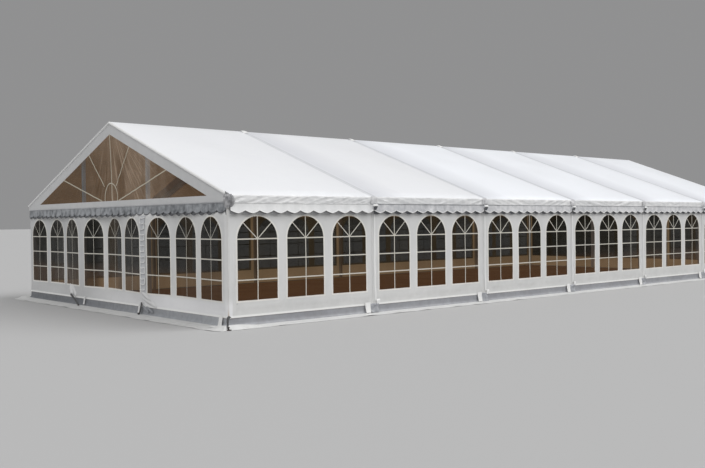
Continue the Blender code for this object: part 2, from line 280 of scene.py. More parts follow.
def cloth(name, points, faces, finishes, marks=None, inside=None, thickness=SHEET):
    """A closed sheet: the given outer face, an inner face behind it, and the cut edge between.
    The inner face takes the finish with the number inside, one or a list, or the outer's own."""
    points = np.array(points, float)
    count = len(points)
    marks = marks or [0] * len(faces)
    if inside is None:
        inside = marks
    elif not isinstance(inside, list):
        inside = [inside] * len(faces)
    inner = points - point_normals(points, faces) * thickness
    sides = {}
    for number, face in enumerate(faces):
        for start, end in zip(face, face[1:] + face[:1]):
            sides[(start, end)] = number
    rim, rim_marks = [], []
    for (start, end), number in sides.items():
        if (end, start) not in sides:
            rim.append((end, start, start + count, end + count))
            rim_marks.append(marks[number])
    back = [tuple(index + count for index in face[:1] + face[:0:-1]) for face in faces]
    both = np.vstack((points, inner))
    return piece_from(name, both, faces + back + rim, finishes, marks + inside + rim_marks)


def fixed(piece, slot, *nodes):
    """The piece rides on the tent and stands for CAD nodes, if any. slot is not used."""
    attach(piece, "root")
    if nodes:
        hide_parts(*nodes)
    return piece


def sheet_finish(name, clean, dull, soil, mottle=0.0, splash=0.30):
    """Coated cloth: cloudy where it has weathered, streaked by rain, soiled near the ground.
    mottle adds small blotches, as on cloth folded away damp, and on the eave band, the grey valances and the
    creased cloths painted shade in their folds. splash is how far the ground's soil covers it."""
    made = Finish(name, Coat_Roughness=0.25)
    clouds = made.noise(0.7, detail=4.0)
    streaks = made.noise(5.0, (1.0, 1.0, 0.10), detail=3.0)
    speckle = made.noise(160.0, detail=2.0)
    weave = made.noise(420.0, detail=1.0)
    blotches = made.noise(9.0, detail=3.0, roughness=0.5)
    # Where mottle is heavy, the blotches in this mix are painted shade.
    weathered = (clouds * 1.2 + streaks * 0.7 - 0.62 + (blotches - 0.5) * mottle).limited()
    near_ground = ((0.52 - made.axis("Z")) * 2.2).limited()
    splashes = (near_ground * (made.noise(9.0, detail=5.0) * 1.5 - 0.25)).limited()
    made.colour(made.blend(weathered, clean, dull))
    made.stain((splashes * splash + speckle * 0.05).limited(), soil)
    made.roughness(0.30 + weathered * 0.18 + splashes * 0.2)
    made.feed(made.shader.inputs["Coat Weight"], 0.12 - weathered * 0.08)
    made.bump(weave * 0.3 + speckle * 0.5, 0.0004)
    return made


roof_white = sheet_finish("white_roof_sheet", (0.87, 0.88, 0.90), (0.80, 0.81, 0.84), (0.40, 0.38, 0.34))
# The eave band is the cover's own cloth, painted greyer and blotched: painted shade in its wrinkles.
shaded_band_white = sheet_finish("painted_shade_eave_band", (0.76, 0.76, 0.76), (0.56, 0.57, 0.58), (0.40, 0.38, 0.34), 1.2)

# Along the right of each channel, where the cover rises out of it, but not on bay one, a grey band is painted
# shade for the cover's billow, and dirt gathers against both the channel's sides. From the third bay on the
# covers are newer and bluer.
along_ridge = roof_white.axis("X")
along_bay = roof_white.sum("WRAP", along_ridge, BAY, 0.0)
past_bay_one = ((along_ridge + (HALF_LENGTH - BAY)) * 8.0).limited()
newer_covers = ((along_ridge + (HALF_LENGTH - 2 * BAY + 0.1)) * 8.0).limited() * 0.75
tint_mask = (1.0 - along_bay / 0.85).limited() * past_bay_one
tint_mask = tint_mask * (0.75 + roof_white.noise(1.3) * 0.5) * (1.0 - newer_covers * 0.1)
from_channel = BAY / 2 - (along_bay - BAY / 2).size()
between_ends = ((8.5 - along_ridge.size()) * 8.0).limited()
channel_dirt = (1.0 - (from_channel - 0.030) / 0.055).limited() * between_ends
roof_white.stain(newer_covers, (0.93, 0.955, 1.0))
roof_white.stain((tint_mask * 0.75).limited(), (0.60, 0.61, 0.65))
roof_white.stain(channel_dirt * 0.65, (0.40, 0.41, 0.44))

# The inner face is painted tan and glows: painted light standing in for the sky's light through the cloth.
lining = Finish("painted_glow_inner_face", Roughness=0.7, Emission_Strength=0.42)
lining_clouds = lining.noise(1.1, (1.0, 1.0, 0.6), detail=4.0)
lining_folds = lining.noise(3.5, (2.4, 2.4, 0.4), detail=3.0)
lining_mix = (lining_clouds + lining_folds * 0.8 - 0.45).limited()
painted_glow_tone = lining.blend(lining_mix, (0.30, 0.195, 0.108), (0.52, 0.36, 0.212))
lining.colour(painted_glow_tone)
lining.glow(painted_glow_tone)
lining.bump(lining_folds, 0.002)


def cover_section():
    """(out, z) points of a cover from one band's foot over the ridge to the other's."""
    half = []
    for row in range(BAND_ROWS):
        share = row / (BAND_ROWS - 1)
        half.append((EAVE_OUT, BAND_FOOT + (EAVE_HEIGHT - EAVE_BEND - BAND_FOOT) * share))
    half.append((EAVE_OUT - EAVE_BEND * 0.3, EAVE_HEIGHT - EAVE_BEND * 0.15))
    for row in range(SLOPE_ROWS):
        out = (EAVE_OUT - EAVE_BEND) * (1 - row / SLOPE_ROWS)
        half.append((out, roof_height(out)))
    half += [(RIDGE_BEND, roof_height(RIDGE_BEND)), (0.0, RIDGE_HEIGHT)]
    return [(-out, z) for out, z in half] + [(out, z) for out, z in half[-2::-1]]


def cover_relief(share, out, z, bay):
    """How far the cover stands off its taut plane. It peaks over the inner portals' shoulders."""
    seed = bay + (0.5 if out > 0 else 0.0)
    from_left = share * BAY if bay else BAY
    from_right = (1 - share) * BAY if bay < BAYS - 1 else BAY
    from_frame = min(from_left, from_right)
    if z < BAND_TOP:
        up = eased((z - BAND_FOOT) / 0.02) * eased((EAVE_HEIGHT - z) / 0.02)
        falling = z + from_frame * 0.30
        ridges = max(0.0, 1 - 3.4 * abs(ripple(falling * 15, from_frame * 1.1, seed)))
        dimples = 0.5 + 0.9 * ripple(share * 30, z * 16, seed + 3)
        lip = BAND_LIP * eased((BAND_FOOT + 0.03 - z) / 0.03)
        return 0.002 + lip + BAND_WRINKLE * up * max(0.0, 0.75 * ridges + 0.6 * dimples)
    fade = math.sin(math.pi * min(1.0, abs(out) / EAVE_OUT)) ** 0.6
    across = 1 - abs(2 * share - 1) ** 3
    slack = ripple(share * 3.2, out * 0.8, seed) * 0.010 * across
    near_eave = eased((abs(out) - (EAVE_OUT - 0.45)) / 0.45)
    peak = SHOULDER_PEAK * math.exp(-(from_frame / 0.07) ** 2) * near_eave * eased(from_frame / 0.03)
    tucks = 0.004 * near_eave * max(0.0, ripple(share * 40, out * 2.0, seed + 5)) * eased(from_frame / 0.1)
    return (PILLOW_RISE * across + slack) * fade + peak + tucks


section = cover_section()
slope_normal = Vector((ROOF_SLOPE, 1.0)).normalized()
covers = []
for bay in range(BAYS):
    low = bay * BAY - HALF_LENGTH + (CHANNEL_HALF if bay else 0.0)
    high = (bay + 1) * BAY - HALF_LENGTH - (CHANNEL_HALF if bay < BAYS - 1 else 0.0)
    points = []
    for out, z in section:
        away, lift = (1.0, 0.0) if z < BAND_TOP else slope_normal
        away = math.copysign(away, out)
        for column in range(COVER_COLUMNS + 1):
            share = column / COVER_COLUMNS
            relief = cover_relief(share, out, z, bay)
            points.append((low + (high - low) * share, out + away * relief, z + lift * relief))
    faces = grid_faces(COVER_COLUMNS + 1, len(section))
    marks, under = [], []
    for index in range(len(faces)):
        row, column = divmod(index, COVER_COLUMNS)
        on_band = row < BAND_ROWS or row > len(section) - BAND_ROWS - 2
        on_hem = on_band or not HEM_COLUMNS <= column < COVER_COLUMNS - HEM_COLUMNS
        marks.append(1 if on_band else 0)
        under.append(1 if on_hem else 2)
    finishes = [roof_white, shaded_band_white, lining]
    cover = cloth(f"roof_cover_sheet_{bay + 1}", points, faces, finishes, marks, under)
    covers.append(fixed(cover, "white_sheet", f"roof_cover_{bay + 1}"))


# The eave valances: a scalloped strip of the same cloth for each bay, on a rounded pocket below
# the eave band. Its lobes are bound with white tape and curl outwards; a dark strip hangs behind them as
# painted shadow under the lobes.
# The strips after the first bay are painted grey, as painted shade under the eave band, with a painted shadow
# line at the pocket; the first bay's is whiter.
VALANCE_NOTCH = EAVE_HEIGHT - 0.257
VALANCE_CLOTH = 0.0008
VALANCE_HEAD = BAND_FOOT + 0.010
VALANCE_HANG, VALANCE_GATHER = 0.0625, 0.005
GREY_FLARE, GREY_FLUTE = 0.014, 0.016
FIRST_FLARE, FIRST_FLUTE = 0.026, 0.010
VALANCE_ROWS = (0.0, 0.04, 0.08, 0.13, 0.24, 0.42, 0.60, 0.78, 0.91, 1.0)
VALANCE_MARKS = (2, 2, 2, 0, 0, 0, 0, 0, 1)
VALANCE_END_GAP = 0.012
SCALLOP_WIDTH, SCALLOP_DEPTH = 0.27, 0.045
LOBE_COLUMNS = 10
POCKET_SHARE, POCKET_BULGE = 0.13, 0.009
SHADOW_STRIP_DEPTH = 0.056
SHADOW_STRIP_ROWS = (0.0, 0.33, 0.67, 1.0)
SHADOW_STRIP_GAP, SHADOW_STRIP_LEAN = 0.001, 0.0048
SHADOW_STRIP_LAG, SHADOW_STRIP_DROP = 0.26, 0.017

# Each wall as someone facing it sees it: the way to their right, the way towards them, and how
# far the wall stands from the tent's middle.
WALLS = {
    "front": (Vector((1, 0, 0)), Vector((0, -1, 0)), HALF_SPAN),
    "rear": (Vector((-1, 0, 0)), Vector((0, 1, 0)), HALF_SPAN),
    "left": (Vector((0, -1, 0)), Vector((-1, 0, 0)), HALF_LENGTH),
    "right": (Vector((0, 1, 0)), Vector((1, 0, 0)), HALF_LENGTH),
}


def on_wall(side, along, out, z):
    """A point given as someone facing that wall sees it: along to the right, out towards them."""
    right, outward, reach = WALLS[side]
    point = right * along + outward * (reach + out)
    return (point.x, point.y, z)


def flipped(faces):
    """The same faces, looking the other way."""
    return [tuple(reversed(face)) for face in faces]


def lobed_strip(side, low, high, head, notch, depth, rows, lag, shape):
    """Points and faces of a scalloped strip that hangs from the height head. shape gives how far
    it stands out, from how far down a point is, its place in its lobe, the lobe, along and z."""
    lobes = max(1, round((high - low) / SCALLOP_WIDTH))
    columns = lobes * LOBE_COLUMNS + 1
    points = []
    for down in rows:
        for column in range(columns):
            along = low + (high - low) * column / (columns - 1)
            lobe, share = divmod(column / LOBE_COLUMNS + lag, 1.0)
            foot = notch - depth * math.sin(math.pi * share)
            z = head + (foot - head) * down
            points.append(on_wall(side, along, shape(down, share, lobe, along, z), z))
    return points, flipped(grid_faces(columns, len(rows)))


def valance(side, name, low, high, head, hang, flare, flute, gather, lag, finishes, seed, held_by, node):
    """Hangs a scalloped strip from low to high along a wall, with a dark strip behind it that is painted
    shadow under its lobes. hang is how far out its head is, flare curls its foot out, flute and gather fold
    it, and lag sets the shadow strip's
    lobes to one side. finishes: the strip, its lip, its seam's painted shadow line, the painted shadow strip."""
    def front(down, share, lobe, along, z):
        pocket = POCKET_BULGE * math.sin(math.pi * min(1.0, down / POCKET_SHARE))
        wave = math.sin(2 * math.pi * (share - 0.10)) * (0.8 + 0.5 * ripple(lobe * 0.37, 2.0, seed))
        folds = flute * down * wave + 0.007 * down * ripple(along * 7, z * 2, seed)
        folds += gather * eased(down / 0.3) * ripple(along * 24, z * 3, seed + 1)
        return hang + pocket + flare * down ** 1.5 + max(-0.006 * down, folds)

    def behind(down, share, lobe, along, z):
        return hang - SHADOW_STRIP_GAP - SHADOW_STRIP_LEAN * down

    points, faces = lobed_strip(side, low, high, head, VALANCE_NOTCH, SCALLOP_DEPTH, VALANCE_ROWS, 0.0, front)
    columns = len(points) // len(VALANCE_ROWS) - 1
    marks = [VALANCE_MARKS[index // columns] for index in range(len(faces))]
    strip = cloth(name, points, faces, finishes, marks, inside=3, thickness=VALANCE_CLOTH)
    fixed(strip, "white_sheet", node)
    # The strip behind is painted shadow: near-black, and grey on the first bay.
    notch = VALANCE_NOTCH - SHADOW_STRIP_DROP
    points, faces = lobed_strip(side, low, high, head, notch, SHADOW_STRIP_DEPTH, SHADOW_STRIP_ROWS, lag, behind)
    name = name.replace("valance", "valance_backing")
    rear = cloth(name, points, faces, finishes[3:], thickness=VALANCE_CLOTH)
    fixed(rear, "grey_sheet", node)


valance_white = sheet_finish("white_valance", (0.76, 0.76, 0.755), (0.60, 0.61, 0.62), (0.45, 0.44, 0.42))
shaded_valance = sheet_finish("weathered_valance", (0.66, 0.66, 0.67), (0.36, 0.37, 0.39), (0.30, 0.30, 0.30),
                            mottle=1.8)
# The grey seam rows at the valance's pocket are a painted shadow line under the eave band.
pocket_shadow_grey = sheet_finish("painted_shadow_seam", (0.40, 0.41, 0.43), (0.20, 0.205, 0.215), (0.15, 0.15, 0.15), 1.0)
binding = sheet_finish("white_edge_tape", (0.82, 0.82, 0.81), (0.70, 0.70, 0.70), (0.45, 0.44, 0.42))
# Both strips behind the valances are painted shadow; the near-black one also serves the joints' strap ends
# and the gable valance's lip.
painted_shadow = sheet_finish("dark_valance_backing", (0.10, 0.105, 0.115), (0.07, 0.072, 0.08), (0.08, 0.08, 0.08))
grey_painted_shadow = sheet_finish("grey_valance_backing", (0.33, 0.33, 0.335), (0.24, 0.24, 0.245), (0.1, 0.1, 0.1))
for side in ("front", "rear"):
    for bay in range(BAYS):
        low = bay * BAY - HALF_LENGTH + VALANCE_END_GAP
        high = low + BAY - 2 * VALANCE_END_GAP
        node = bay + 1 if side == "front" else BAYS - bay
        flare, flute, finishes = GREY_FLARE, GREY_FLUTE, [shaded_valance, binding, pocket_shadow_grey, painted_shadow]
        if node == 1:
            flare, flute = FIRST_FLARE, FIRST_FLUTE
            finishes = [valance_white, binding, valance_white, grey_painted_shadow]
        valance(side, f"{side}_valance_{bay + 1}", low, high, VALANCE_HEAD, VALANCE_HANG, flare, flute,
                VALANCE_GATHER, SHADOW_STRIP_LAG, finishes, bay + 11, covers[node - 1], f"roof_cover_{node}")


# The walls: a sheet for each bay, hooked under the eave purlin and drawn down to the skirt, with
# three arched openings. A cream strip is welded round each opening over the clear sheet's edge,
# and the sheet's own edges are doubled where they run into the posts' channels.
WALL_HEM = 0.168
HEM_STAND = 0.012
CREASE_RISE = 0.007
POST_FOLD = 0.024
WINDOW_HALF = 0.38
WINDOW_SILL = 0.44
WINDOW_SPRING = 1.458
WINDOW_PITCH = 0.96
CELL_HALF = WINDOW_PITCH / 2
CELL_SHARES = (0.16, 0.32, 0.48, 0.64, 0.81, 1.0)
WELD_WIDTH, WELD_RISE, WELD_EDGE = 0.028, 0.0018, 0.001
SILL_STEPS, SIDE_STEPS, SHOULDER_STEPS, CROWN_STEPS = 20, 16, 8, 8
GABLE_PITCH = (2 * HALF_SPAN - 0.0026) / 3

# Each wall's number of panels, and one panel's width and the height of its head.
PANELS = {
    "front": (BAYS, 2.9997, 2.1183), "rear": (BAYS, 2.9997, 2.1183),
    "left": (3, 2.9988, 2.15), "right": (3, 2.9988, 2.15),
}

# The doubled edge beside a post: how far in from the panel's side, and how far it stands out.
DOUBLED_WIDTH, DOUBLED_RISE = 0.021, 0.0018
DOUBLED_EDGE = (
    (0.046, 0.0), (0.034, 0.0), (0.032, DOUBLED_RISE), (0.020, DOUBLED_RISE), (0.012, DOUBLED_RISE),
    (0.006, DOUBLED_RISE), (0.0008, 0.0),
)


def panel_middle(side, number):
    """Where a panel's middle is along its wall; number counts from 1, from the left."""
    count = PANELS[side][0]
    return (number - (count + 1) / 2) * (BAY if count == BAYS else GABLE_PITCH)


# Each gable panel's depth of billow and the place across it where that is deepest, and how far
# the sheet stands out at each of the four posts, from the left.
BILLOWS = ((0.070, 0.55), (0.115, 0.38), (0.090, 0.42))
POST_STANDS = (0.0, 0.008, 0.045, 0.025)


def gable_billow(number, along, share, height):
    """How far a gable's panel is blown in between its posts, and stands out where they hold it."""
    depth, place = BILLOWS[number - 1]
    across = share / place if share < place else (1 - share) / (1 - place)
    stand = POST_STANDS[number - 1] + (POST_STANDS[number] - POST_STANDS[number - 1]) * share
    stand *= eased((HALF_SPAN - 0.003 - abs(along)) / 0.08)
    return (stand - depth * eased(across)) * eased(height / 0.14) * eased((0.93 - height) / 0.12)


def wall_relief(side, along, z, folded=True):
    """How far a wall's sheet stands out from its taut plane. The long walls bulge out a little
    between posts, with a fold to the right of each; the gables' walls are blown inwards."""
    count, width, top = PANELS[side]
    number = min(count, max(1, round(along / width + (count + 1) / 2)))
    x = along - panel_middle(side, number)
    share = min(1.0, max(0.0, x / width + 0.5))
    edge = eased(min(share, 1 - share) * width / 0.16)
    height = min(1.0, max(0.0, (z - WALL_HEM) / (top - WALL_HEM)))
    belly = math.sin(math.pi * height) * math.sin(math.pi * share)
    seed = number + 10 * list(WALLS).index(side)
    soft = ripple(along * 1.5, z * 0.7, seed) * 0.008
    drawn = ripple(x * 3.0 + z * 2.2, x * 0.6 - z * 0.9, seed + 0.5) * 0.005
    ends = eased(height / 0.10) * eased((1 - height) / 0.16)
    hem = HEM_STAND * eased((0.30 - z) / 0.11)
    ridges = max(0.0, 1 - 5 * abs(ripple(x * 2.4 - z * 2.2, x * 0.4 + z * 0.7, seed + 0.8)))
    drawn += CREASE_RISE * ridges * eased((0.50 - z) / 0.10)
    if count == 3:
        return gable_billow(number, along, share, height) + (soft + drawn) * edge * ends * 0.5 + hem
    from_post = min(share, 1 - share) * width
    groove = 0.012 * eased((from_post - 0.003) / 0.022) + 0.005 * eased((from_post - 0.020) / 0.08)
    groove *= eased((height - 0.01) / 0.08)
    taut = (0.008 * belly + (soft + drawn) * edge) * ends + groove * eased((1 - height) / 0.06)
    place = 0.085 + 0.015 * ripple(z * 1.3, 1.0, seed)
    fold = POST_FOLD * math.exp(-((share * width - place) / 0.024) ** 2) if folded else 0.0
    fold *= eased((z - 0.35) / 0.3) * eased((1.45 - z) / 0.5)
    fold *= 0.5 + 0.5 * eased(ripple(1.0, seed * 3.1, 2.0) + 0.6)
    return max(-0.010, taut) + fold + hem


def opening_loop(grow):
    """An opening's outline, grown by a margin: along the sill, up, over the arch and down."""
    half, sill = WINDOW_HALF + grow, WINDOW_SILL - grow
    rise = WINDOW_SPRING - sill
    corner = math.atan2(0.66, CELL_HALF)
    loop = [(-half + 2 * half * step / SILL_STEPS, sill) for step in range(SILL_STEPS)]
    loop += [(half, sill + rise * step / SIDE_STEPS) for step in range(SIDE_STEPS)]
    turns = [corner * step / SHOULDER_STEPS for step in range(SHOULDER_STEPS)]
    turns += [corner + (math.pi - 2 * corner) * step / CROWN_STEPS for step in range(CROWN_STEPS)]
    turns += [math.pi - corner + corner * step / SHOULDER_STEPS for step in range(SHOULDER_STEPS)]
    loop += [(half * math.cos(turn), WINDOW_SPRING + half * math.sin(turn)) for turn in turns]
    loop += [(-half, WINDOW_SPRING - rise * step / SIDE_STEPS) for step in range(SIDE_STEPS)]
    return loop


def cell_loop(top):
    """The rectangle of wall round one opening, with a point for each point of the opening."""
    half, rise = CELL_HALF, WINDOW_SPRING - WALL_HEM
    loop = [(-half + 2 * half * step / SILL_STEPS, WALL_HEM) for step in range(SILL_STEPS)]
    loop += [(half, WALL_HEM + rise * step / SIDE_STEPS) for step in range(SIDE_STEPS)]
    rise_above = top - WINDOW_SPRING
    loop += [(half, WINDOW_SPRING + rise_above * step / SHOULDER_STEPS) for step in range(SHOULDER_STEPS)]
    loop += [(half - 2 * half * step / CROWN_STEPS, top) for step in range(CROWN_STEPS)]
    loop += [(-half, top - rise_above * step / SHOULDER_STEPS) for step in range(SHOULDER_STEPS)]
    loop += [(-half, WINDOW_SPRING - rise * step / SIDE_STEPS) for step in range(SIDE_STEPS)]
    return loop


def wall_net(side):
    """A panel laid flat: (along, raise, z) points, faces, and the finishes of their two sides."""
    width, top = PANELS[side][1:]
    found, points, faces, marks, under = {}, [], [], [], []

    def corner(along, rise, z):
        key = (round(along, 5), round(rise, 5), round(z, 5))
        if key not in found:
            found[key] = len(points)
            points.append((along, rise, z))
        return found[key]

    outer = cell_loop(top)
    start = opening_loop(WELD_WIDTH + WELD_EDGE)
    rings = [(opening_loop(0.0), WELD_RISE), (opening_loop(WELD_WIDTH), WELD_RISE), (start, 0.0)]
    for share in CELL_SHARES:
        loop = [(a[0] + (b[0] - a[0]) * share, a[1] + (b[1] - a[1]) * share) for a, b in zip(start, outer)]
        rings.append((loop, 0.0))
    for shift in (-WINDOW_PITCH, 0.0, WINDOW_PITCH):
        for ring, ((near, near_rise), (far, far_rise)) in enumerate(zip(rings, rings[1:])):
            for index in range(len(near)):
                following = (index + 1) % len(near)
                faces.append((
                    corner(near[index][0] + shift, near_rise, near[index][1]),
                    corner(far[index][0] + shift, far_rise, far[index][1]),
                    corner(far[following][0] + shift, far_rise, far[following][1]),
                    corner(near[following][0] + shift, near_rise, near[following][1]),
                ))
                marks.append(1 if ring < 2 else 0)
                under.append(2)
    heights = sorted({z for x, z in outer if x == CELL_HALF} | {top})
    hem = [(1.5 * WINDOW_PITCH, 0.0)] + [(width / 2 - inset, rise) for inset, rise in DOUBLED_EDGE]
    for way in (-1, 1):
        for (near, near_rise), (far, far_rise) in zip(hem, hem[1:]):
            for below, above in zip(heights, heights[1:]):
                face = (
                    corner(way * near, near_rise, below), corner(way * far, far_rise, below),
                    corner(way * far, far_rise, above), corner(way * near, near_rise, above),
                )
                faces.append(face if way > 0 else tuple(reversed(face)))
                marks.append(0)
                under.append(0 if near > width / 2 - DOUBLED_WIDTH else 2)
    return points, faces, marks, under


def gable_places(made):
    """Two masks: where cloth is on a gable, and how far towards the gable's rear it is."""
    on_gable = ((made.axis("X").size() - (HALF_LENGTH - 0.08)) * 40.0).limited()
    towards_rear = ((made.axis("Y") + 1.8) / 3.0).limited()
    return on_gable, towards_rear


# The sheets are painted lighter under the eaves, as painted light against the valances' shadow; they are
# paler along the doubled hem, and on a gable are painted lighter at the foot of its front half and greyer in
# its rear half: painted light and shade.
wall_white = sheet_finish("white_wall_sheet", (0.67, 0.67, 0.665), (0.56, 0.565, 0.565), (0.42, 0.40, 0.34),
                          mottle=0.5, splash=0.2)
wall_height = wall_white.axis("Z")
on_gable, towards_rear = gable_places(wall_white)
painted_light_foot = on_gable * (1.0 - towards_rear) * ((0.50 - wall_height) * 8.0).limited()
painted_light_and_hem = ((wall_height - 1.84) * 5.0).limited() + ((0.213 - wall_height) * 50.0).limited() * 0.7
wall_white.stain(on_gable * towards_rear * 0.50, (0.40, 0.405, 0.415))
wall_white.stain(painted_light_foot * 0.70, (0.80, 0.80, 0.815))
wall_white.stain(painted_light_and_hem.limited(), (0.90, 0.90, 0.88))
weld_cream = sheet_finish("cream_welded_strip", (0.76, 0.745, 0.71), (0.70, 0.685, 0.64), (0.42, 0.40, 0.34))
# The walls' inner face is painted tan and glows: painted light standing in for the sky's light through the
# cloth.
wall_lining = Finish("painted_glow_wall_inner_face", Roughness=0.7, Emission_Strength=0.80)
inner_mix = (wall_lining.noise(0.8, detail=4.0) * 1.8 - 0.4).limited()
painted_glow_wall_tone = wall_lining.blend(inner_mix, (0.36, 0.245, 0.135), (0.58, 0.42, 0.25))
wall_lining.colour(painted_glow_wall_tone)
wall_lining.glow(painted_glow_wall_tone)
wall_finishes = [wall_white, weld_cream, wall_lining]
window_area = 2 * WINDOW_HALF * (WINDOW_SPRING - WINDOW_SILL) + math.pi * WINDOW_HALF ** 2 / 2
for side, (count, width, top) in PANELS.items():
    flat_points, faces, marks, under = wall_net(side)
    name = f"{side}_wall" if count == BAYS else f"{side}_gable_wall"
    for number in range(1, count + 1):
        middle = panel_middle(side, number)
        points = [
            on_wall(side, middle + x, rise + wall_relief(side, middle + x, z), z)
            for x, rise, z in flat_points
        ]
        wall = cloth(f"{name}_sheet_{number}", points, faces, wall_finishes, marks, under)
        fixed(wall, "white_sheet", f"{name}_{number}")
        top - WALL_HEM
        width * (top - WALL_HEM) - 3 * window_area


# The windows: a clear sheet behind each panel's three openings, yellowed and rippled with use.
# Its glazing bars are cream strips 15 to 20 mm wide, welded on in a mullion, three crossings and
# two rays. On the gables the mullions and rays are narrower.
CLEAR_FOOT, CLEAR_HEAD = 0.39, 1.888
CLEAR_COLUMNS, CLEAR_ROWS = 72, 26
CLEAR_MARGIN = 0.20
CLEAR_BACK = 0.0016
CROSSING_WIDTH, UPRIGHT_WIDTH, RAY_WIDTH = 0.020, 0.016, 0.015
GABLE_BAR_SHARE = 0.62
BAR_THICKNESS = 0.0016
BAR_HEIGHTS = (0.779, 1.119, 1.458)
RAY_REACH = WINDOW_HALF * math.sqrt(0.5)

clear = Finish("clear_window_sheet", IOR=1.45, Specular_IOR_Level=0.05)
on_gable, towards_rear = gable_places(clear)
haze = clear.noise(2.2, (1.0, 1.0, 0.5), detail=4.0)
scuffs = clear.noise(14.0, (1.6, 1.6, 0.5), detail=3.0)
mist = (haze * 1.3 + scuffs * 0.6 - 0.62).limited()
tint_mask = ((0.96 - clear.axis("Z")) * 4.0).limited() * (0.75 + scuffs * 0.5)
clear.colour(clear.blend(mist * (1.0 - on_gable * 0.5), (0.002, 0.0022, 0.0010), (0.022, 0.018, 0.010)))
clear.stain(tint_mask.limited(), (0.052, 0.031, 0.0170))
clear.roughness(0.10 + mist * 0.16)
clear.feed(clear.shader.inputs["Alpha"], 0.78 + on_gable * (towards_rear * 0.10 + 0.06))
clear.bump(clear.noise(5.0, (1.0, 1.0, 0.45), detail=2.0), 0.02, 0.5)
bar_cream = sheet_finish("cream_window_bar", (0.62, 0.595, 0.53), (0.50, 0.48, 0.43), (0.42, 0.40, 0.34))


def clear_slack(side, along, z):
    """How deep a clear sheet's shallow ripples are."""
    return 0.0035 * (0.5 + 0.5 * ripple(along * 4.5, z * 2.2, 40 + len(side)))


def ribbon(side, line, width, front, relief, points, faces):
    """Adds a bar along a line of (along, z) points to a mesh that is being gathered. front is how
    far its face stands out from the sheet, whose own shape relief gives."""
    first = len(points)
    for index, (along, z) in enumerate(line):
        before, after = line[max(0, index - 1)], line[min(len(line) - 1, index + 1)]
        run = Vector((after[0] - before[0], after[1] - before[1])).normalized()
        for way, depth in ((-1, 0), (1, 0), (1, 1), (-1, 1)):
            a, b = along + run.y * way * width / 2, z - run.x * way * width / 2
            points.append(on_wall(side, a, relief(side, a, b) + front - depth * BAR_THICKNESS, b))
    for index in range(len(line) - 1):
        start = first + 4 * index
        for step in range(4):
            after = (step + 1) % 4
            faces.append((start + step, start + after, start + 4 + after, start + 4 + step))
    last = first + 4 * (len(line) - 1)
    faces.append((first + 3, first + 2, first + 1, first))
    faces.append((last, last + 1, last + 2, last + 3))


def between(start, end, steps):
    """Points at even steps along a straight line."""
    return [
        (start[0] + (end[0] - start[0]) * step / steps, start[1] + (end[1] - start[1]) * step / steps)
        for step in range(steps + 1)
    ]


for side, (count, width, top) in PANELS.items():
    for number in range(1, count + 1):
        middle = panel_middle(side, number)
        points = []
        for row in range(CLEAR_ROWS + 1):
            z = CLEAR_FOOT + (CLEAR_HEAD - CLEAR_FOOT) * row / CLEAR_ROWS
            for column in range(CLEAR_COLUMNS + 1):
                along = middle + (column / CLEAR_COLUMNS - 0.5) * (width - CLEAR_MARGIN)
                back = CLEAR_BACK + clear_slack(side, along, z)
                points.append(on_wall(side, along, wall_relief(side, along, z, False) - back, z))
        label = f"{side}_window" if count == BAYS else f"{side}_gable_window"
        faces = grid_faces(CLEAR_COLUMNS + 1, CLEAR_ROWS + 1)
        pane = piece_from(f"{label}_clear_{number}", points, faces, [clear])
        fixed(pane, "clear_sheet", f"{label}_sheet")

        points, faces = [], []
        thin = 1.0 if count == BAYS else GABLE_BAR_SHARE
        for window in (-1, 0, 1):
            x = middle + window * WINDOW_PITCH
            lines = [((x, WINDOW_SILL), (x, WINDOW_SPRING + WINDOW_HALF), 22, UPRIGHT_WIDTH * thin)]
            lines += [((x - WINDOW_HALF, z), (x + WINDOW_HALF, z), 10, CROSSING_WIDTH) for z in BAR_HEIGHTS]
            for way in (-1, 1):
                inner = (x + way * 0.01, WINDOW_SPRING + 0.01)
                outer = (x + way * RAY_REACH, WINDOW_SPRING + RAY_REACH)
                lines.append((inner, outer, 6, RAY_WIDTH * thin))
            for order, (start, end, steps, wide) in enumerate(lines):
                front = 0.0002 + 0.0003 * min(order, 4)
                ribbon(side, between(start, end, steps), wide, front, wall_relief, points, faces)
        bars = fixed(piece_from(f"{label}_bars_{number}", points, faces, [bar_cream]), "white_sheet")


# The gables: a clear triangle held between two white bands under the slopes and a foot band at
# the eaves, with a scalloped valance below, painted grey as painted shade. A fan of cream bars is welded on
# the clear.
GABLE_FACE = 0.0013
GABLE_APEX = 3.515
GABLE_REACH = 3.8365
RAKE_ROWS, RAKE_STEPS = 5, 60
FOOT_BAND_LOW = 2.07
FOOT_ROWS, FOOT_COLUMNS = 7, 121
GABLE_VALANCE_HALF = 4.475
GABLE_VALANCE_HEAD = FOOT_BAND_LOW + 0.004
GABLE_VALANCE_HANG, GABLE_GATHER, GABLE_LAG = GABLE_FACE + 0.012, 0.012, 0.5
TRIANGLE_ROWS, TRIANGLE_COLUMNS = 48, 130
FAN_BAR_WIDTH, FAN_POST_BOW = 0.022, 0.09
FAN_ARCH_HALF, FAN_ARCH_MIDDLE = 0.29, 0.04
FAN_SPRING = EAVE_HEIGHT + 0.06

gable_white = sheet_finish("white_gable_band", (0.60, 0.60, 0.605), (0.50, 0.51, 0.515), (0.45, 0.43, 0.40),
                           mottle=0.3)
shaded_gable_grey = sheet_finish("grey_gable_valance", (0.34, 0.355, 0.375), (0.10, 0.108, 0.117),
                          (0.25, 0.25, 0.25), mottle=2.8)
fan_cream = sheet_finish("cream_fan_bar", (0.54, 0.50, 0.40), (0.44, 0.41, 0.33), (0.42, 0.40, 0.34))
gable_clear = Finish("clear_gable_sheet", IOR=1.45, Specular_IOR_Level=0.08, Alpha=0.66)
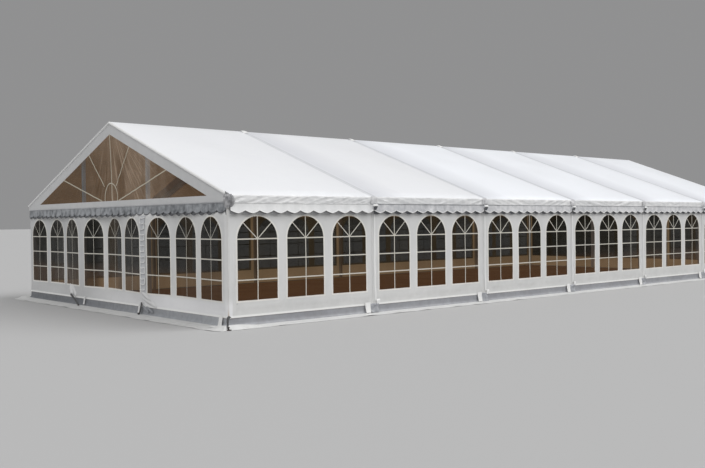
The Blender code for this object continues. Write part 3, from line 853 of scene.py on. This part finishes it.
# The film is painted pale along its creases, a painted highlight, and hazed by smears towards its middle.
smears = gable_clear.noise(1.6, (1.0, 1.6, 0.5), detail=5.0)
from_middle = gable_clear.axis("Y")
fan_across = from_middle / (GABLE_APEX + 0.35 - gable_clear.axis("Z"))
fan_sockets = {0: fan_across * 7.0, 1: gable_clear.axis("Z") * 0.45}
fan_point = gable_clear.node("ShaderNodeCombineXYZ", {}, fan_sockets)
creases = gable_clear.node("ShaderNodeTexNoise", {}, {"Vector": fan_point, "Scale": 2.6, "Detail": 3.0})
creased = ((creases - 0.50) * 6.0).limited() * (1.15 - (from_middle + 0.6).size() / 1.4).limited()
towards_middle = (1.0 - (from_middle + 1.3).size() / 3.2).limited() * ((from_middle + 3.1) * 3.0).limited()
film = ((smears - 0.30) * towards_middle * 2.1).limited() + creased * 0.75
gable_clear.colour(gable_clear.blend(film.limited(), (0.004, 0.003, 0.001), (0.35, 0.285, 0.225)))
gable_clear.roughness(0.12 + film * 0.22)
gable_clear.bump(creases, 0.03, 0.7)


def band_relief(along, z):
    """How far a white band stands out: broad waves with finer, slanting ones on them."""
    waves = 0.0012 * (1 + ripple(along * 2.0, z * 3.0, 60))
    return waves + 0.0008 * (1 + ripple(along * 9 + z * 12, z * 4, 61))


def triangle_slack(side, along, z):
    """The clear triangle's folds, which fan down from its apex and fade towards its edges. They
    are the same on each side; ribbon passes the side to every relief."""
    inward = min(1.0, (GABLE_APEX - ROOF_SLOPE * abs(along) - z) / 0.25, (z - EAVE_HEIGHT) / 0.12)
    spread = along / max(0.15, GABLE_APEX + 0.3 - z)
    fan = ripple(spread * 9.0, z * 0.7, 70) + 0.45 * ripple(spread * 17.0, z * 0.9, 71)
    return 0.010 * eased(max(0.0, inward)) * fan


def fan_ray(way, start, foot, steep, steps):
    """A bar from (start, foot) to the band under the slope, rising steep for each metre out."""
    end = (GABLE_APEX - foot + steep * start) / (ROOF_SLOPE + steep)
    return between((way * start, foot), (way * end, foot + steep * (end - start)), steps)


fan_post = between((0, EAVE_HEIGHT), (0, GABLE_APEX), 24)
fan_arch = [(-FAN_ARCH_HALF, EAVE_HEIGHT)]
for step in range(17):
    turn = math.pi * (1 - step / 16)
    fan_arch.append((FAN_ARCH_HALF * math.cos(turn), FAN_SPRING + FAN_ARCH_HALF * math.sin(turn)))
fan_arch.append((FAN_ARCH_HALF, EAVE_HEIGHT))
fan_lines = [[(FAN_POST_BOW * math.cos(math.pi * up / 48), z) for up, (x, z) in enumerate(fan_post)]]
fan_lines.append([(x + FAN_ARCH_MIDDLE, z) for x, z in fan_arch])
for way, steep in ((-1, 0.9), (1, 1.2)):
    fan_lines += [fan_ray(way, 0.38, EAVE_HEIGHT, 0.25, 24), fan_ray(way, 0.27, 2.48, steep, 16)]

for side in ("left", "right"):
    border, held_by = f"{side}_gable_border", [f"{side}_end_frame"]
    for way, label in ((-1, "a"), (1, "b")):
        points = []
        for row in range(RAKE_ROWS):
            across = row / (RAKE_ROWS - 1)
            for step in range(RAKE_STEPS + 1):
                up = 1 - step / RAKE_STEPS
                outer = (EAVE_OUT * up, roof_height(EAVE_OUT * up))
                inner = (GABLE_REACH * up, GABLE_APEX - ROOF_SLOPE * GABLE_REACH * up)
                along, z = (outer[axis] + (inner[axis] - outer[axis]) * across for axis in (0, 1))
                points.append(on_wall(side, way * along, GABLE_FACE + band_relief(way * along, z), z))
        faces = grid_faces(RAKE_STEPS + 1, RAKE_ROWS)
        faces = flipped(faces) if way < 0 else faces
        rake = cloth(f"{side}_gable_rake_{label}", points, faces, [gable_white, lining], inside=1)
        fixed(rake, "white_sheet", border)

    points = []
    for row in range(FOOT_ROWS):
        share = row / (FOOT_ROWS - 1)
        z = FOOT_BAND_LOW + (EAVE_HEIGHT - FOOT_BAND_LOW) * share
        for column in range(FOOT_COLUMNS):
            along = EAVE_OUT * (2 * column / (FOOT_COLUMNS - 1) - 1)
            pull = math.sin(math.pi * share) * max(0.0, ripple(along * 8 + z * 14, z * 3, 64)) * 0.006
            points.append(on_wall(side, along, GABLE_FACE + band_relief(along, z) + pull, z))
    faces = grid_faces(FOOT_COLUMNS, FOOT_ROWS)
    foot = cloth(f"{side}_gable_foot_band", points, faces, [gable_white, lining], inside=1)
    fixed(foot, "white_sheet", border)

    # The gable valance is painted grey as painted shade, and its lip takes the near-black painted shadow.
    finishes = [shaded_gable_grey, painted_shadow, pocket_shadow_grey, painted_shadow]
    valance(side, f"{side}_gable_valance", -GABLE_VALANCE_HALF, GABLE_VALANCE_HALF, GABLE_VALANCE_HEAD,
            GABLE_VALANCE_HANG, GREY_FLARE, GREY_FLUTE, GABLE_GATHER, GABLE_LAG, finishes, 30, foot, border)

    points = []
    for row in range(TRIANGLE_ROWS + 1):
        z = EAVE_HEIGHT + (GABLE_APEX - EAVE_HEIGHT) * row / TRIANGLE_ROWS
        half = max(0.004, (GABLE_APEX - z) / ROOF_SLOPE)
        for column in range(TRIANGLE_COLUMNS + 1):
            along = half * (2 * column / TRIANGLE_COLUMNS - 1)
            points.append(on_wall(side, along, GABLE_FACE + triangle_slack(side, along, z), z))
    faces = grid_faces(TRIANGLE_COLUMNS + 1, TRIANGLE_ROWS + 1)
    triangle = piece_from(f"{side}_gable_clear", points, faces, [gable_clear])
    fixed(triangle, "clear_sheet", f"{side}_gable_clear_sheet")

    points, faces = [], []
    for order, line in enumerate(fan_lines):
        front = GABLE_FACE + 0.0030 + 0.0004 * min(order, 3)
        ribbon(side, line, FAN_BAR_WIDTH, front, triangle_slack, points, faces)
    fan = fixed(piece_from(f"{side}_gable_fan", points, faces, [fan_cream]), "white_sheet")


# The skirt: a grey band laced on below the wall sheets, with a white flap that lies out on the
# ground all round to keep the draught out. The flap's edge wanders and lifts a little, and its
# spare cloth swells up at the corners. The gables' band is paler, and painted darker towards the rear as
# painted shade.
SKIRT_TOP = 0.1997
SKIRT_PROFILE = [(0.0, SKIRT_TOP), (0.001, 0.165), (0.003, 0.130), (0.004, 0.098), (0.006, 0.070)]
SKIRT_PROFILE += [(0.016, 0.046), (0.036, 0.026), (0.062, 0.015), (0.10, 0.010), (0.15, 0.007)]
SKIRT_PROFILE += [(0.20, 0.005), (0.245, 0.004), (0.275, 0.003)]
GREY_ROWS = 6
SKIRT_STEP = 0.07
FLAP_PUFF, CORNER_PUFF = 0.022, 0.070
FLAP_WANDER, FLAP_LIFT = 0.022, 0.016

skirt_grey = sheet_finish("grey_skirt_band", (0.32, 0.33, 0.355), (0.23, 0.235, 0.26), (0.14, 0.13, 0.11),
                          mottle=0.4)
skirt_white = sheet_finish("white_skirt_flap", (0.70, 0.70, 0.70), (0.58, 0.59, 0.60), (0.40, 0.39, 0.34),
                           mottle=0.4)
gable_band = sheet_finish("grey_gable_skirt_band", (0.43, 0.445, 0.475), (0.30, 0.315, 0.34),
                          (0.15, 0.15, 0.14), mottle=0.8)
# Painted shade: the gables' band darkens towards the rear.
gable_band.stain(((gable_band.axis("Y") + 4.5) / 7.5).limited() * 0.90, (0.105, 0.112, 0.124))

# Each wall's half length, its band's finish, how far its corner swell reaches along it, and how
# much further out its flap lies than on the long sides.
SKIRTS = {
    "front": (HALF_LENGTH, skirt_grey, 0.80, 0.0), "rear": (HALF_LENGTH, skirt_grey, 0.80, 0.0),
    "left": (HALF_SPAN, gable_band, 0.40, 0.07), "right": (HALF_SPAN, gable_band, 0.40, 0.07),
}
for seed, (side, (half, band, swell, extra)) in enumerate(SKIRTS.items(), 80):
    columns = round(2 * half / SKIRT_STEP)
    points = []
    for out, z in SKIRT_PROFILE:
        spread = max(0.0, (out - 0.05) / 0.225)
        for column in range(columns + 1):
            share = 2 * column / columns - 1
            along = share * (half + out)
            from_corner = (1 - abs(share)) * half
            corner = eased(from_corner / 0.25)
            wander = spread * (FLAP_WANDER * ripple(along * 1.7, 0.5, seed) + extra) * corner
            lift = spread * FLAP_LIFT * max(0.0, ripple(along * 3.1, out * 4, seed + 0.4)) * corner
            hang = 0.006 * (ripple(along * 2.6, z * 6, seed + 0.7) + 0.6) * eased((SKIRT_TOP - z) / 0.05)
            puff = FLAP_PUFF * corner * (0.8 + 0.6 * ripple(along * 2.3, out * 3, seed + 0.9))
            puff += CORNER_PUFF * (1 - eased(from_corner / swell))
            puff *= math.sin(math.pi * eased((out - 0.01) / 0.24))
            along += wander * share
            points.append(on_wall(side, along, out + wander + max(0.0, hang) * corner, z + lift + puff))
    faces = flipped(grid_faces(columns + 1, len(SKIRT_PROFILE)))
    marks = [0 if index // columns < GREY_ROWS else 1 for index in range(len(faces))]
    inner_marks = [1 if mark else 2 for mark in marks]
    skirt = cloth(f"{side}_skirt_sheet", points, faces, [band, skirt_white, wall_lining], marks, inner_marks)
    fixed(skirt, "grey_sheet", f"{side}_skirt")
    2 * half


# The eave fittings: over each portal's shoulder the covers' joint is closed by creased white cloth
# with a stiff lip and a dark strap end below it, whose near-black finish is partly painted shadow under the
# lip; at two corners the spare cloth is bunched up.
STRIP_ACROSS = 7
STRIP_CLOTH = 0.0012


def hung_strip(name, side, spine, widths, slot, finish, rests_on, seed, lean=0.0, crumple=0.0, ridge=0.0):
    """A strip of cloth along (along, out, z) points, from its top down, lying on the wall sheet.
    widths are spread along it. lean turns its width away from level, crumple folds it, and ridge
    is how far its middle stands up from its edges."""
    points, length = [], 0.0
    for index, (along, out, z) in enumerate(spine):
        down = index / (len(spine) - 1)
        width = float(np.interp(down, np.linspace(0, 1, len(widths)), widths))
        if index:
            run, lift, drop = (spine[index][axis] - spine[index - 1][axis] for axis in range(3))
            length += math.hypot(run * math.sin(lean) - drop * math.cos(lean), lift)
        for step in range(STRIP_ACROSS):
            u = 2 * step / (STRIP_ACROSS - 1) - 1
            x, y = along + math.cos(lean) * u * width / 2, z + math.sin(lean) * u * width / 2
            fold = crumple * ripple(x * 21 + length * 9, length * 17, seed)
            fold += ridge * math.cos(u * math.pi / 2) ** 2 * math.sin(math.pi * down) ** 0.6
            y += 0.4 * crumple * ripple(x * 15, length * 12, seed + 9)
            stand = out + fold + wall_relief(side, x, max(y, WALL_HEM), False)
            points.append(on_wall(side, x, stand, max(0.003, y)))
    faces = flipped(grid_faces(STRIP_ACROSS, len(spine)))
    strip = fixed(cloth(name, points, faces, [finish], thickness=STRIP_CLOTH), slot)
    sum(widths) / len(widths)


def portal_at(side, line):
    """The portal behind a frame line; the rear wall's lines are counted the other way."""
    return f"portal_frame_{line if side == 'front' else BAYS - line}"


# Both creased cloths are blotched dark: painted shade in their creases, on the joint's white cloth and the
# corner bunch's grey.
joint_white = sheet_finish("creased_joint_cloth", (0.72, 0.72, 0.73), (0.42, 0.42, 0.43), (0.30, 0.30, 0.30),
                           mottle=2.2)
tie_grey = sheet_finish("grey_tied_cloth", (0.42, 0.42, 0.43), (0.07, 0.072, 0.08), (0.20, 0.19, 0.17), 3.0)

# The joint's cloths: name, place beside the portal's line, widths, finish, slot, how crumpled it
# is, and the (out, z) points of its run down.
JOINT_CLOTHS = (
    ("scrap", 0.000, (0.120, 0.170), joint_white, "white_sheet", 0.022,
     ((0.074, 2.198), (0.080, 2.175), (0.086, 2.150), (0.086, 2.120), (0.084, 2.090), (0.080, 2.065))),
    ("flap", 0.012, (0.090, 0.140), binding, "white_sheet", 0.005,
     ((0.104, 2.050), (0.114, 2.028), (0.110, 2.012))),
    ("strap", 0.014, (0.110, 0.050), painted_shadow, "grey_sheet", 0.004,
     ((0.096, 2.020), (0.096, 1.996), (0.092, 1.972), (0.088, 1.945))),
)
for side in ("front", "rear"):
    for line in range(1, BAYS):
        for kind, shift, widths, finish, slot, crumple, spine in JOINT_CLOTHS:
            points = [(line * BAY - HALF_LENGTH + shift, out, z) for out, z in spine]
            hung_strip(f"{side}_joint_{kind}_{line}", side, points, widths, slot, finish,
                       portal_at(side, line), line, crumple=crumple)

# The bunch wraps round the corner post. Each of its folds is given by where it stands along the
# gable, how far it stands out, and the heights of its top and foot.
BUNCH_FOLDS = (
    (4.420, 0.012, 2.150, 2.030), (4.446, 0.028, 2.192, 2.000), (4.470, 0.012, 2.232, 1.985),
    (4.500, 0.032, 2.248, 1.972), (4.530, 0.014, 2.214, 1.976), (4.562, 0.028, 2.224, 1.968),
    (4.590, 0.000, 2.190, 1.990), (4.572, -0.028, 2.204, 1.986), (4.592, -0.054, 2.168, 2.012),
    (4.574, -0.078, 2.152, 2.045),
)
BUNCH_ROWS = 18
BUNCH_CLOTH = 0.0015
for end, wall, x_way, y_way in (("left", "front", -1, -1), ("right", "rear", 1, 1)):
    points = []
    for row in range(BUNCH_ROWS + 1):
        down = row / BUNCH_ROWS
        for index, (y, out, top, foot) in enumerate(BUNCH_FOLDS):
            around = index / (len(BUNCH_FOLDS) - 1)
            z = top + (foot - top) * down
            stand = 0.018 * (1 - 3 * abs(ripple(index * 0.55 + z * 9, z * 13, 90)))
            stand += 0.012 * math.sin(math.pi * down)
            x, y = HALF_LENGTH + out + stand * (1 - around), y + stand * around
            points.append((x_way * x, y_way * y, z + 0.010 * ripple(index * 1.3, z * 11, 91)))
    faces = grid_faces(len(BUNCH_FOLDS), BUNCH_ROWS + 1)
    bunch = cloth(f"{end}_{wall}_corner_bunch", points, faces, [tie_grey], thickness=BUNCH_CLOTH)
    fixed(bunch, "grey_sheet")


# The fittings at the wall's foot: white tabs that button the skirt back at each post, a crumpled
# grey lap and a raised sheet edge beside them, and the doubled edge of each sheet as a narrow
# lip up its post.
TAB_SPINE = ((0.014, 0.222), (0.019, 0.190), (0.024, 0.155), (0.030, 0.120), (0.036, 0.085), (0.043, 0.055),
             (0.052, 0.032))
LAP_SPINE = ((0.014, 0.196), (0.022, 0.170), (0.020, 0.140), (0.028, 0.110), (0.032, 0.080), (0.044, 0.052),
             (0.064, 0.030))
EDGE_SPINE = ((0.012, 0.272), (0.020, 0.248), (0.022, 0.222), (0.020, 0.196), (0.018, 0.172))
POST_LAP_TOP, POST_LAP_LENGTH, POST_LAP_STEPS = 1.90, 1.655, 30
POST_LAP_WIDTHS = (0.7 * 0.040, 0.040, 1.1 * 0.040)
POST_LAP_SHIFT = 0.052

lap_grey = sheet_finish("grey_foot_lap", (0.36, 0.37, 0.40), (0.22, 0.23, 0.25), (0.14, 0.14, 0.12), 1.6)
FOOT_CLOTHS = (
    ("tab", -0.135, 0.125, TAB_SPINE, binding, "white_sheet", 0.006),
    ("lap", 0.020, 0.190, LAP_SPINE, lap_grey, "grey_sheet", 0.030),
    ("edge", 0.120, 0.085, EDGE_SPINE, binding, "white_sheet", 0.016),
)
for side in ("front", "rear"):
    for line in range(1, BAYS):
        for kind, shift, wide, spine, finish, slot, crumple in FOOT_CLOTHS:
            points = [(line * BAY - HALF_LENGTH + shift, out, z) for out, z in spine]
            hung_strip(f"{side}_foot_{kind}_{line}", side, points, (wide, wide * 0.9), slot, finish,
                       portal_at(side, line), line + 0.3, crumple=crumple)

# Each lap takes the white tape finish, paler than the wall: a painted highlight along the fold beside each
# post.
for side in ("front", "rear"):
    for line in range(1, BAYS):
        middle = line * BAY - HALF_LENGTH + POST_LAP_SHIFT
        points = []
        for step in range(POST_LAP_STEPS + 1):
            z = POST_LAP_TOP - POST_LAP_LENGTH * step / POST_LAP_STEPS
            along = middle + 0.010 * ripple(z * 1.6, line * 1.7, 8)
            points.append((along, 0.008 + 0.006 * ripple(z * 2.3, line, 9), z))
        hung_strip(f"{side}_post_lap_{line}", side, points, POST_LAP_WIDTHS, "white_sheet", binding,
                   portal_at(side, line), line + 0.8, ridge=0.007)


# The ties: dark webbing runs from the corners and from the gables' posts down to driven steel
# pins, white tabs hold the gables' skirt, and the pull draws folds across the sheets.
PIN_PROFILE = ((0.010, 0.061), (0.017, 0.056), (0.018, 0.050), (0.009, 0.046), (0.008, 0.018), (0.044, 0.014),
               (0.046, 0.003))
PIN_TURNS = 12
PIN_AHEAD = 0.014
STRAP_STAND, STRAP_FOOT, STRAP_STEPS = 0.026, 0.012, 6
STRAP_WIDTHS = (0.052, 0.046)

strap_black = sheet_finish("dark_webbing", (0.035, 0.037, 0.040), (0.022, 0.022, 0.024), (0.05, 0.045, 0.035))
# This finish is a little paler than the wall: on the drawn folds a painted highlight, on the gable tabs their
# own white.
fold_highlight_and_tab_white = sheet_finish("painted_highlight_fold_and_tab", (0.70, 0.70, 0.70), (0.60, 0.605, 0.61), (0.42, 0.40, 0.34),
                          mottle=0.3, splash=0.1)
pin_steel = Finish("dull_pin_steel", Metallic=0.8)
pin_rust = pin_steel.noise(60.0, detail=4.0)
pin_steel.colour(pin_steel.blend((pin_rust * 2.0 - 0.7).limited(), (0.07, 0.07, 0.075), (0.08, 0.045, 0.03)))
pin_steel.roughness(0.40 + pin_rust * 0.3)
pin_steel.bump(pin_rust, 0.001)


def steel_pin(name, x, y):
    """A driven pin with a mushroom head and a round plate, turned about its upright axis."""
    turns = [2 * math.pi * step / PIN_TURNS for step in range(PIN_TURNS)]
    points = [(x + r * math.cos(turn), y + r * math.sin(turn), z) for r, z in PIN_PROFILE for turn in turns]
    faces = []
    for ring in range(len(PIN_PROFILE) - 1):
        for step in range(PIN_TURNS):
            a, b = ring * PIN_TURNS + step, ring * PIN_TURNS + (step + 1) % PIN_TURNS
            faces.append((a, a + PIN_TURNS, b + PIN_TURNS, b))
    faces.append(tuple(range(PIN_TURNS)))
    faces.append(tuple(reversed(range(len(points) - PIN_TURNS, len(points)))))
    fixed(piece_from(name, points, faces, [pin_steel]), "aluminium")


def strap_and_pin(side, number, held_by, along, run, reach_out, high, hump=0.0):
    """Webbing from high on the post down to a pin, which is run along the wall and reach_out from
    it. hump lifts its middle over the flap's swell."""
    spine = []
    for step in range(STRAP_STEPS + 1):
        down = step / STRAP_STEPS
        z = high + (STRAP_FOOT - high) * down + hump * math.sin(math.pi * down)
        spine.append((along + run * down, STRAP_STAND + reach_out * down ** 2.2, z))
    hung_strip(f"{side}_strap_{number}", side, spine, STRAP_WIDTHS, "grey_sheet", strap_black, held_by,
               number, lean=math.atan2(run, high), crumple=0.003)
    x, y = on_wall(side, along + run, STRAP_STAND + PIN_AHEAD + reach_out, 0.0)[:2]
    steel_pin(f"{side}_pin_{number}", x, y)


CORNER_STRAP_PLACES = {"front": 8.997, "rear": 8.800}
CORNER_RUN, CORNER_REACH, CORNER_HIGH, CORNER_HUMP = 0.140, 0.190, 0.200, 0.050
for side, place in CORNER_STRAP_PLACES.items():
    for end in ("left", "right"):
        way = 1 if (side == "front") == (end == "right") else -1
        strap_and_pin(side, 1 if way < 0 else 2, f"{end}_end_frame", way * place, way * CORNER_RUN,
                      CORNER_REACH, CORNER_HIGH, CORNER_HUMP)

# The gables' straps: place, run along, reach out and height. Their tabs: place, width, run down
# and finish. The drawn folds: start, end, width and height.
GABLE_STRAPS = ((-2.060, 0.660, 0.085, 0.235), (1.390, -0.010, 0.060, 0.255))
CORNER_TAB_SPINE = TAB_SPINE[1:] + ((0.095, 0.044), (0.150, 0.040), (0.205, 0.030))
GABLE_TABS = (
    (-1.300, 0.070, TAB_SPINE[:6], fold_highlight_and_tab_white), (1.285, 0.070, TAB_SPINE[:6], fold_highlight_and_tab_white),
    (4.300, 0.120, CORNER_TAB_SPINE, binding),
)
DRAWN_FOLDS = (
    ((-2.230, 0.440), (-2.010, 0.190), 0.150, 0.020), ((-2.080, 0.420), (-1.800, 0.200), 0.120, 0.014),
    ((1.390, 0.470), (1.740, 0.300), 0.110, 0.020), ((1.400, 0.330), (1.980, 0.195), 0.090, 0.018),
    ((1.410, 0.190), (1.660, 0.075), 0.070, 0.012), ((1.560, 0.180), (1.840, 0.085), 0.060, 0.010),
)
FOLD_WIDTH_SHARES = (0.3, 0.9, 1.0, 1.0, 0.9, 0.4)
for side in ("left", "right"):
    held_by = f"{side}_end_frame"
    for number, sizes in enumerate(GABLE_STRAPS, 1):
        strap_and_pin(side, number, held_by, *sizes)
    for number, (along, wide, spine, finish) in enumerate(GABLE_TABS, 1):
        points = [(along, out, z) for out, z in spine]
        hung_strip(f"{side}_foot_tab_{number}", side, points, (wide, wide), "white_sheet", finish, held_by,
                   number + 4, crumple=0.006)
    for number, (start, end, wide, high) in enumerate(DRAWN_FOLDS, 1):
        spine = []
        for along, z in between(start, end, 16):
            spine.append((along, 0.0025 + 0.014 * eased((0.24 - z) / 0.10), z))
        widths = [share * wide for share in FOLD_WIDTH_SHARES]
        lean = math.atan2(end[0] - start[0], start[1] - end[1])
        slot, finish = ("white_sheet", fold_highlight_and_tab_white) if start[1] > 0.2 else ("grey_sheet", gable_band)
        hung_strip(f"{side}_drawn_fold_{number}", side, spine, widths, slot, finish, held_by, number + 1,
                   lean=lean, ridge=high)


# The lacing: the middle and end sheets of each gable overlap at one upright, and a white cord
# zigzags between two rows of eyelets to close them. The cord is pulled tight all the way down.
LACING_ALONG = 1.5
LACING_LOW, LACING_HIGH = 0.50, 1.84
LACING_RUNGS = 14
LACING_HALF = 0.085
CORD_RADIUS, RUNG_RADIUS = 0.006, 0.009
LACED_LAP_TOP, LACED_LAP_LENGTH, LACED_LAP_STEPS = 1.88, 1.46, 26
LACED_LAP_WIDTHS = (0.185, 0.185)


def tube(line, radius, points, faces, sides=8):
    """Adds a round cord along a line of points to a mesh that is being gathered."""
    first = len(points)
    for index, point in enumerate(line):
        run = (line[min(len(line) - 1, index + 1)] - line[max(0, index - 1)]).normalized()
        across = run.cross(Vector((0.31, 0.17, 0.93))).normalized()
        over = run.cross(across)
        for step in range(sides):
            turn = 2 * math.pi * step / sides
            beside = point + across * (radius * math.cos(turn))
            points.append(tuple(beside + over * (radius * math.sin(turn))))
    for index in range(len(line) - 1):
        for step in range(sides):
            a, b = first + index * sides + step, first + index * sides + (step + 1) % sides
            faces.append((a, b, b + sides, a + sides))
    faces.append(tuple(range(first + sides - 1, first - 1, -1)))
    faces.append(tuple(range(len(points) - sides, len(points))))


def lace_point(side, u, z, out):
    """A point on the laced lap, u from -1 to 1 between the two rows of eyelets."""
    along = LACING_ALONG + u * LACING_HALF
    return Vector(on_wall(side, along, out + wall_relief(side, along, z), z))


# The lap is white cloth painted grey: painted shade behind the cord's rungs.
shaded_laced_lap = sheet_finish("painted_shade_laced_lap", (0.58, 0.59, 0.61), (0.44, 0.45, 0.47), (0.3, 0.3, 0.3), 0.8)
for side in ("left", "right"):
    spine = []
    for step in range(LACED_LAP_STEPS + 1):
        z = LACED_LAP_TOP - LACED_LAP_LENGTH * step / LACED_LAP_STEPS
        spine.append((LACING_ALONG, 0.007 + 0.003 * math.sin(step * 0.9), z))
    hung_strip(f"{side}_laced_lap", side, spine, LACED_LAP_WIDTHS, "white_sheet", shaded_laced_lap,
               f"{side}_gable_upright_1", 4, crumple=0.003)

    points, faces = [], []
    drop = (LACING_HIGH - LACING_LOW) / (LACING_RUNGS - 1)
    for rung in range(LACING_RUNGS):
        z = LACING_HIGH - drop * rung
        line = []
        for step in range(9):
            u = step / 4 - 1
            sag = 0.010 * (1 - u * u) + 0.004 * ripple(rung * 0.8, u, 5)
            line.append(lace_point(side, u, z - sag, 0.026 - 0.010 * u * u))
        tube(line, RUNG_RADIUS, points, faces)
        if rung < LACING_RUNGS - 1:
            way = 1 if rung % 2 else -1
            line = [lace_point(side, way, z - drop * step / 4, 0.016) for step in range(5)]
            tube(line, CORD_RADIUS, points, faces)
    fixed(piece_from(f"{side}_lacing", points, faces, [binding]), "white_sheet")


# The welts: a rounded white bead runs up each gable's slopes, where the cover is drawn over the
# end portal, and a short white saddle keeps the rain off each inner portal's ridge joint.
WELT_RADIUS, WELT_BELOW, WELT_STEPS = 0.026, 0.022, 40
for side in ("left", "right"):
    points, faces = [], []
    for way in (-1, 1):
        line = []
        for step in range(WELT_STEPS + 1):
            out = EAVE_OUT * (1 - step / WELT_STEPS)
            wobble = 0.002 * ripple(out * 3, way * 2.0, 6)
            line.append(Vector(on_wall(side, way * out, 0.0, roof_height(out) - WELT_BELOW + wobble)))
        tube(line, WELT_RADIUS, points, faces, 14)
    fixed(piece_from(f"{side}_gable_welt", points, faces, [binding]), "white_sheet")

SADDLE_HALF_WIDTH, SADDLE_HALF_LENGTH = 0.070, 0.150
SADDLE_ABOVE, SADDLE_RIDGE = 0.024, 0.015
for line in range(1, BAYS):
    middle = line * BAY - HALF_LENGTH
    points = []
    for row in range(13):
        out = SADDLE_HALF_LENGTH * (row / 6 - 1)
        top = RIDGE_HEIGHT + SADDLE_ABOVE - ROOF_SLOPE * max(0.0, abs(out) - SADDLE_RIDGE)
        top -= 0.018 * eased((abs(out) - 0.09) / 0.06)
        for step in range(7):
            u = step / 3 - 1
            z = top - 0.014 * u * u + 0.003 * ripple(u, out * 9, line)
            points.append((middle + u * SADDLE_HALF_WIDTH, out, z))
    saddle = cloth(f"ridge_saddle_{line}", points, grid_faces(7, 13), [binding], thickness=STRIP_CLOTH)
    fixed(saddle, "white_sheet")


# The stage is not part of the tent: a plain pale floor, soft light from above on both sides, and
# the camera at the photograph's viewing angle, low and to the left of the near corner.
FLOOR_ALBEDO = 0.46
FLOOR_REACH, FLOOR_LEVEL = 400.0, -0.001
WORLD_LIGHT = 0.28
KEY_STRENGTH, KEY_FROM = 1.75, (0.45, -0.50, 0.74)
FILL_STRENGTH, FILL_FROM = 1.60, (-0.60, -0.40, 0.69)
LIGHT_SPREAD = 50
CAMERA_PLACE = (-16.334, -17.277, 1.7196)
CAMERA_HEADING, CAMERA_TILT, CAMERA_ROLL = -45.15, -0.85, -0.57
CAMERA_LENS = 44.54
CAMERA_SHIFT = -0.1613

ground = Finish("plain_pale_floor", Roughness=0.9, Base_Color=(FLOOR_ALBEDO, FLOOR_ALBEDO, FLOOR_ALBEDO))
corners = [(x * FLOOR_REACH, y * FLOOR_REACH, FLOOR_LEVEL) for x, y in ((-1, -1), (1, -1), (1, 1), (-1, 1))]
piece_from("stage_floor", corners, [(0, 1, 2, 3)], [ground])

world = bpy.data.worlds.new("plain_studio")
bpy.context.scene.world = world
world.use_nodes = True
backdrop = world.node_tree.nodes["Background"]
backdrop.inputs["Color"].default_value = (WORLD_LIGHT, WORLD_LIGHT, WORLD_LIGHT * 1.01, 1.0)

for name, strength, comes_from in (("key", KEY_STRENGTH, KEY_FROM), ("fill", FILL_STRENGTH, FILL_FROM)):
    light = bpy.data.lights.new(name, "SUN")
    light.energy = strength
    light.angle = math.radians(LIGHT_SPREAD)
    lamp = bpy.data.objects.new(name, light)
    lamp.rotation_euler = Vector(comes_from).to_track_quat("Z", "Y").to_euler()
    bpy.context.scene.collection.objects.link(lamp)

lens = bpy.data.cameras.new("photograph_view")
lens.sensor_width = 36.0
lens.lens = CAMERA_LENS
lens.shift_x = CAMERA_SHIFT
lens.clip_end = 1000.0
camera = bpy.data.objects.new("photograph_view", lens)
turned = Matrix.Rotation(math.radians(CAMERA_HEADING), 4, "Z")
turned = turned @ Matrix.Rotation(math.radians(90 + CAMERA_TILT), 4, "X")
turned = turned @ Matrix.Rotation(math.radians(CAMERA_ROLL), 4, "Z")
camera.matrix_world = Matrix.Translation(CAMERA_PLACE) @ turned
bpy.context.scene.collection.objects.link(camera)
bpy.context.scene.camera = camera
bpy.context.scene.view_settings.view_transform = "Standard"
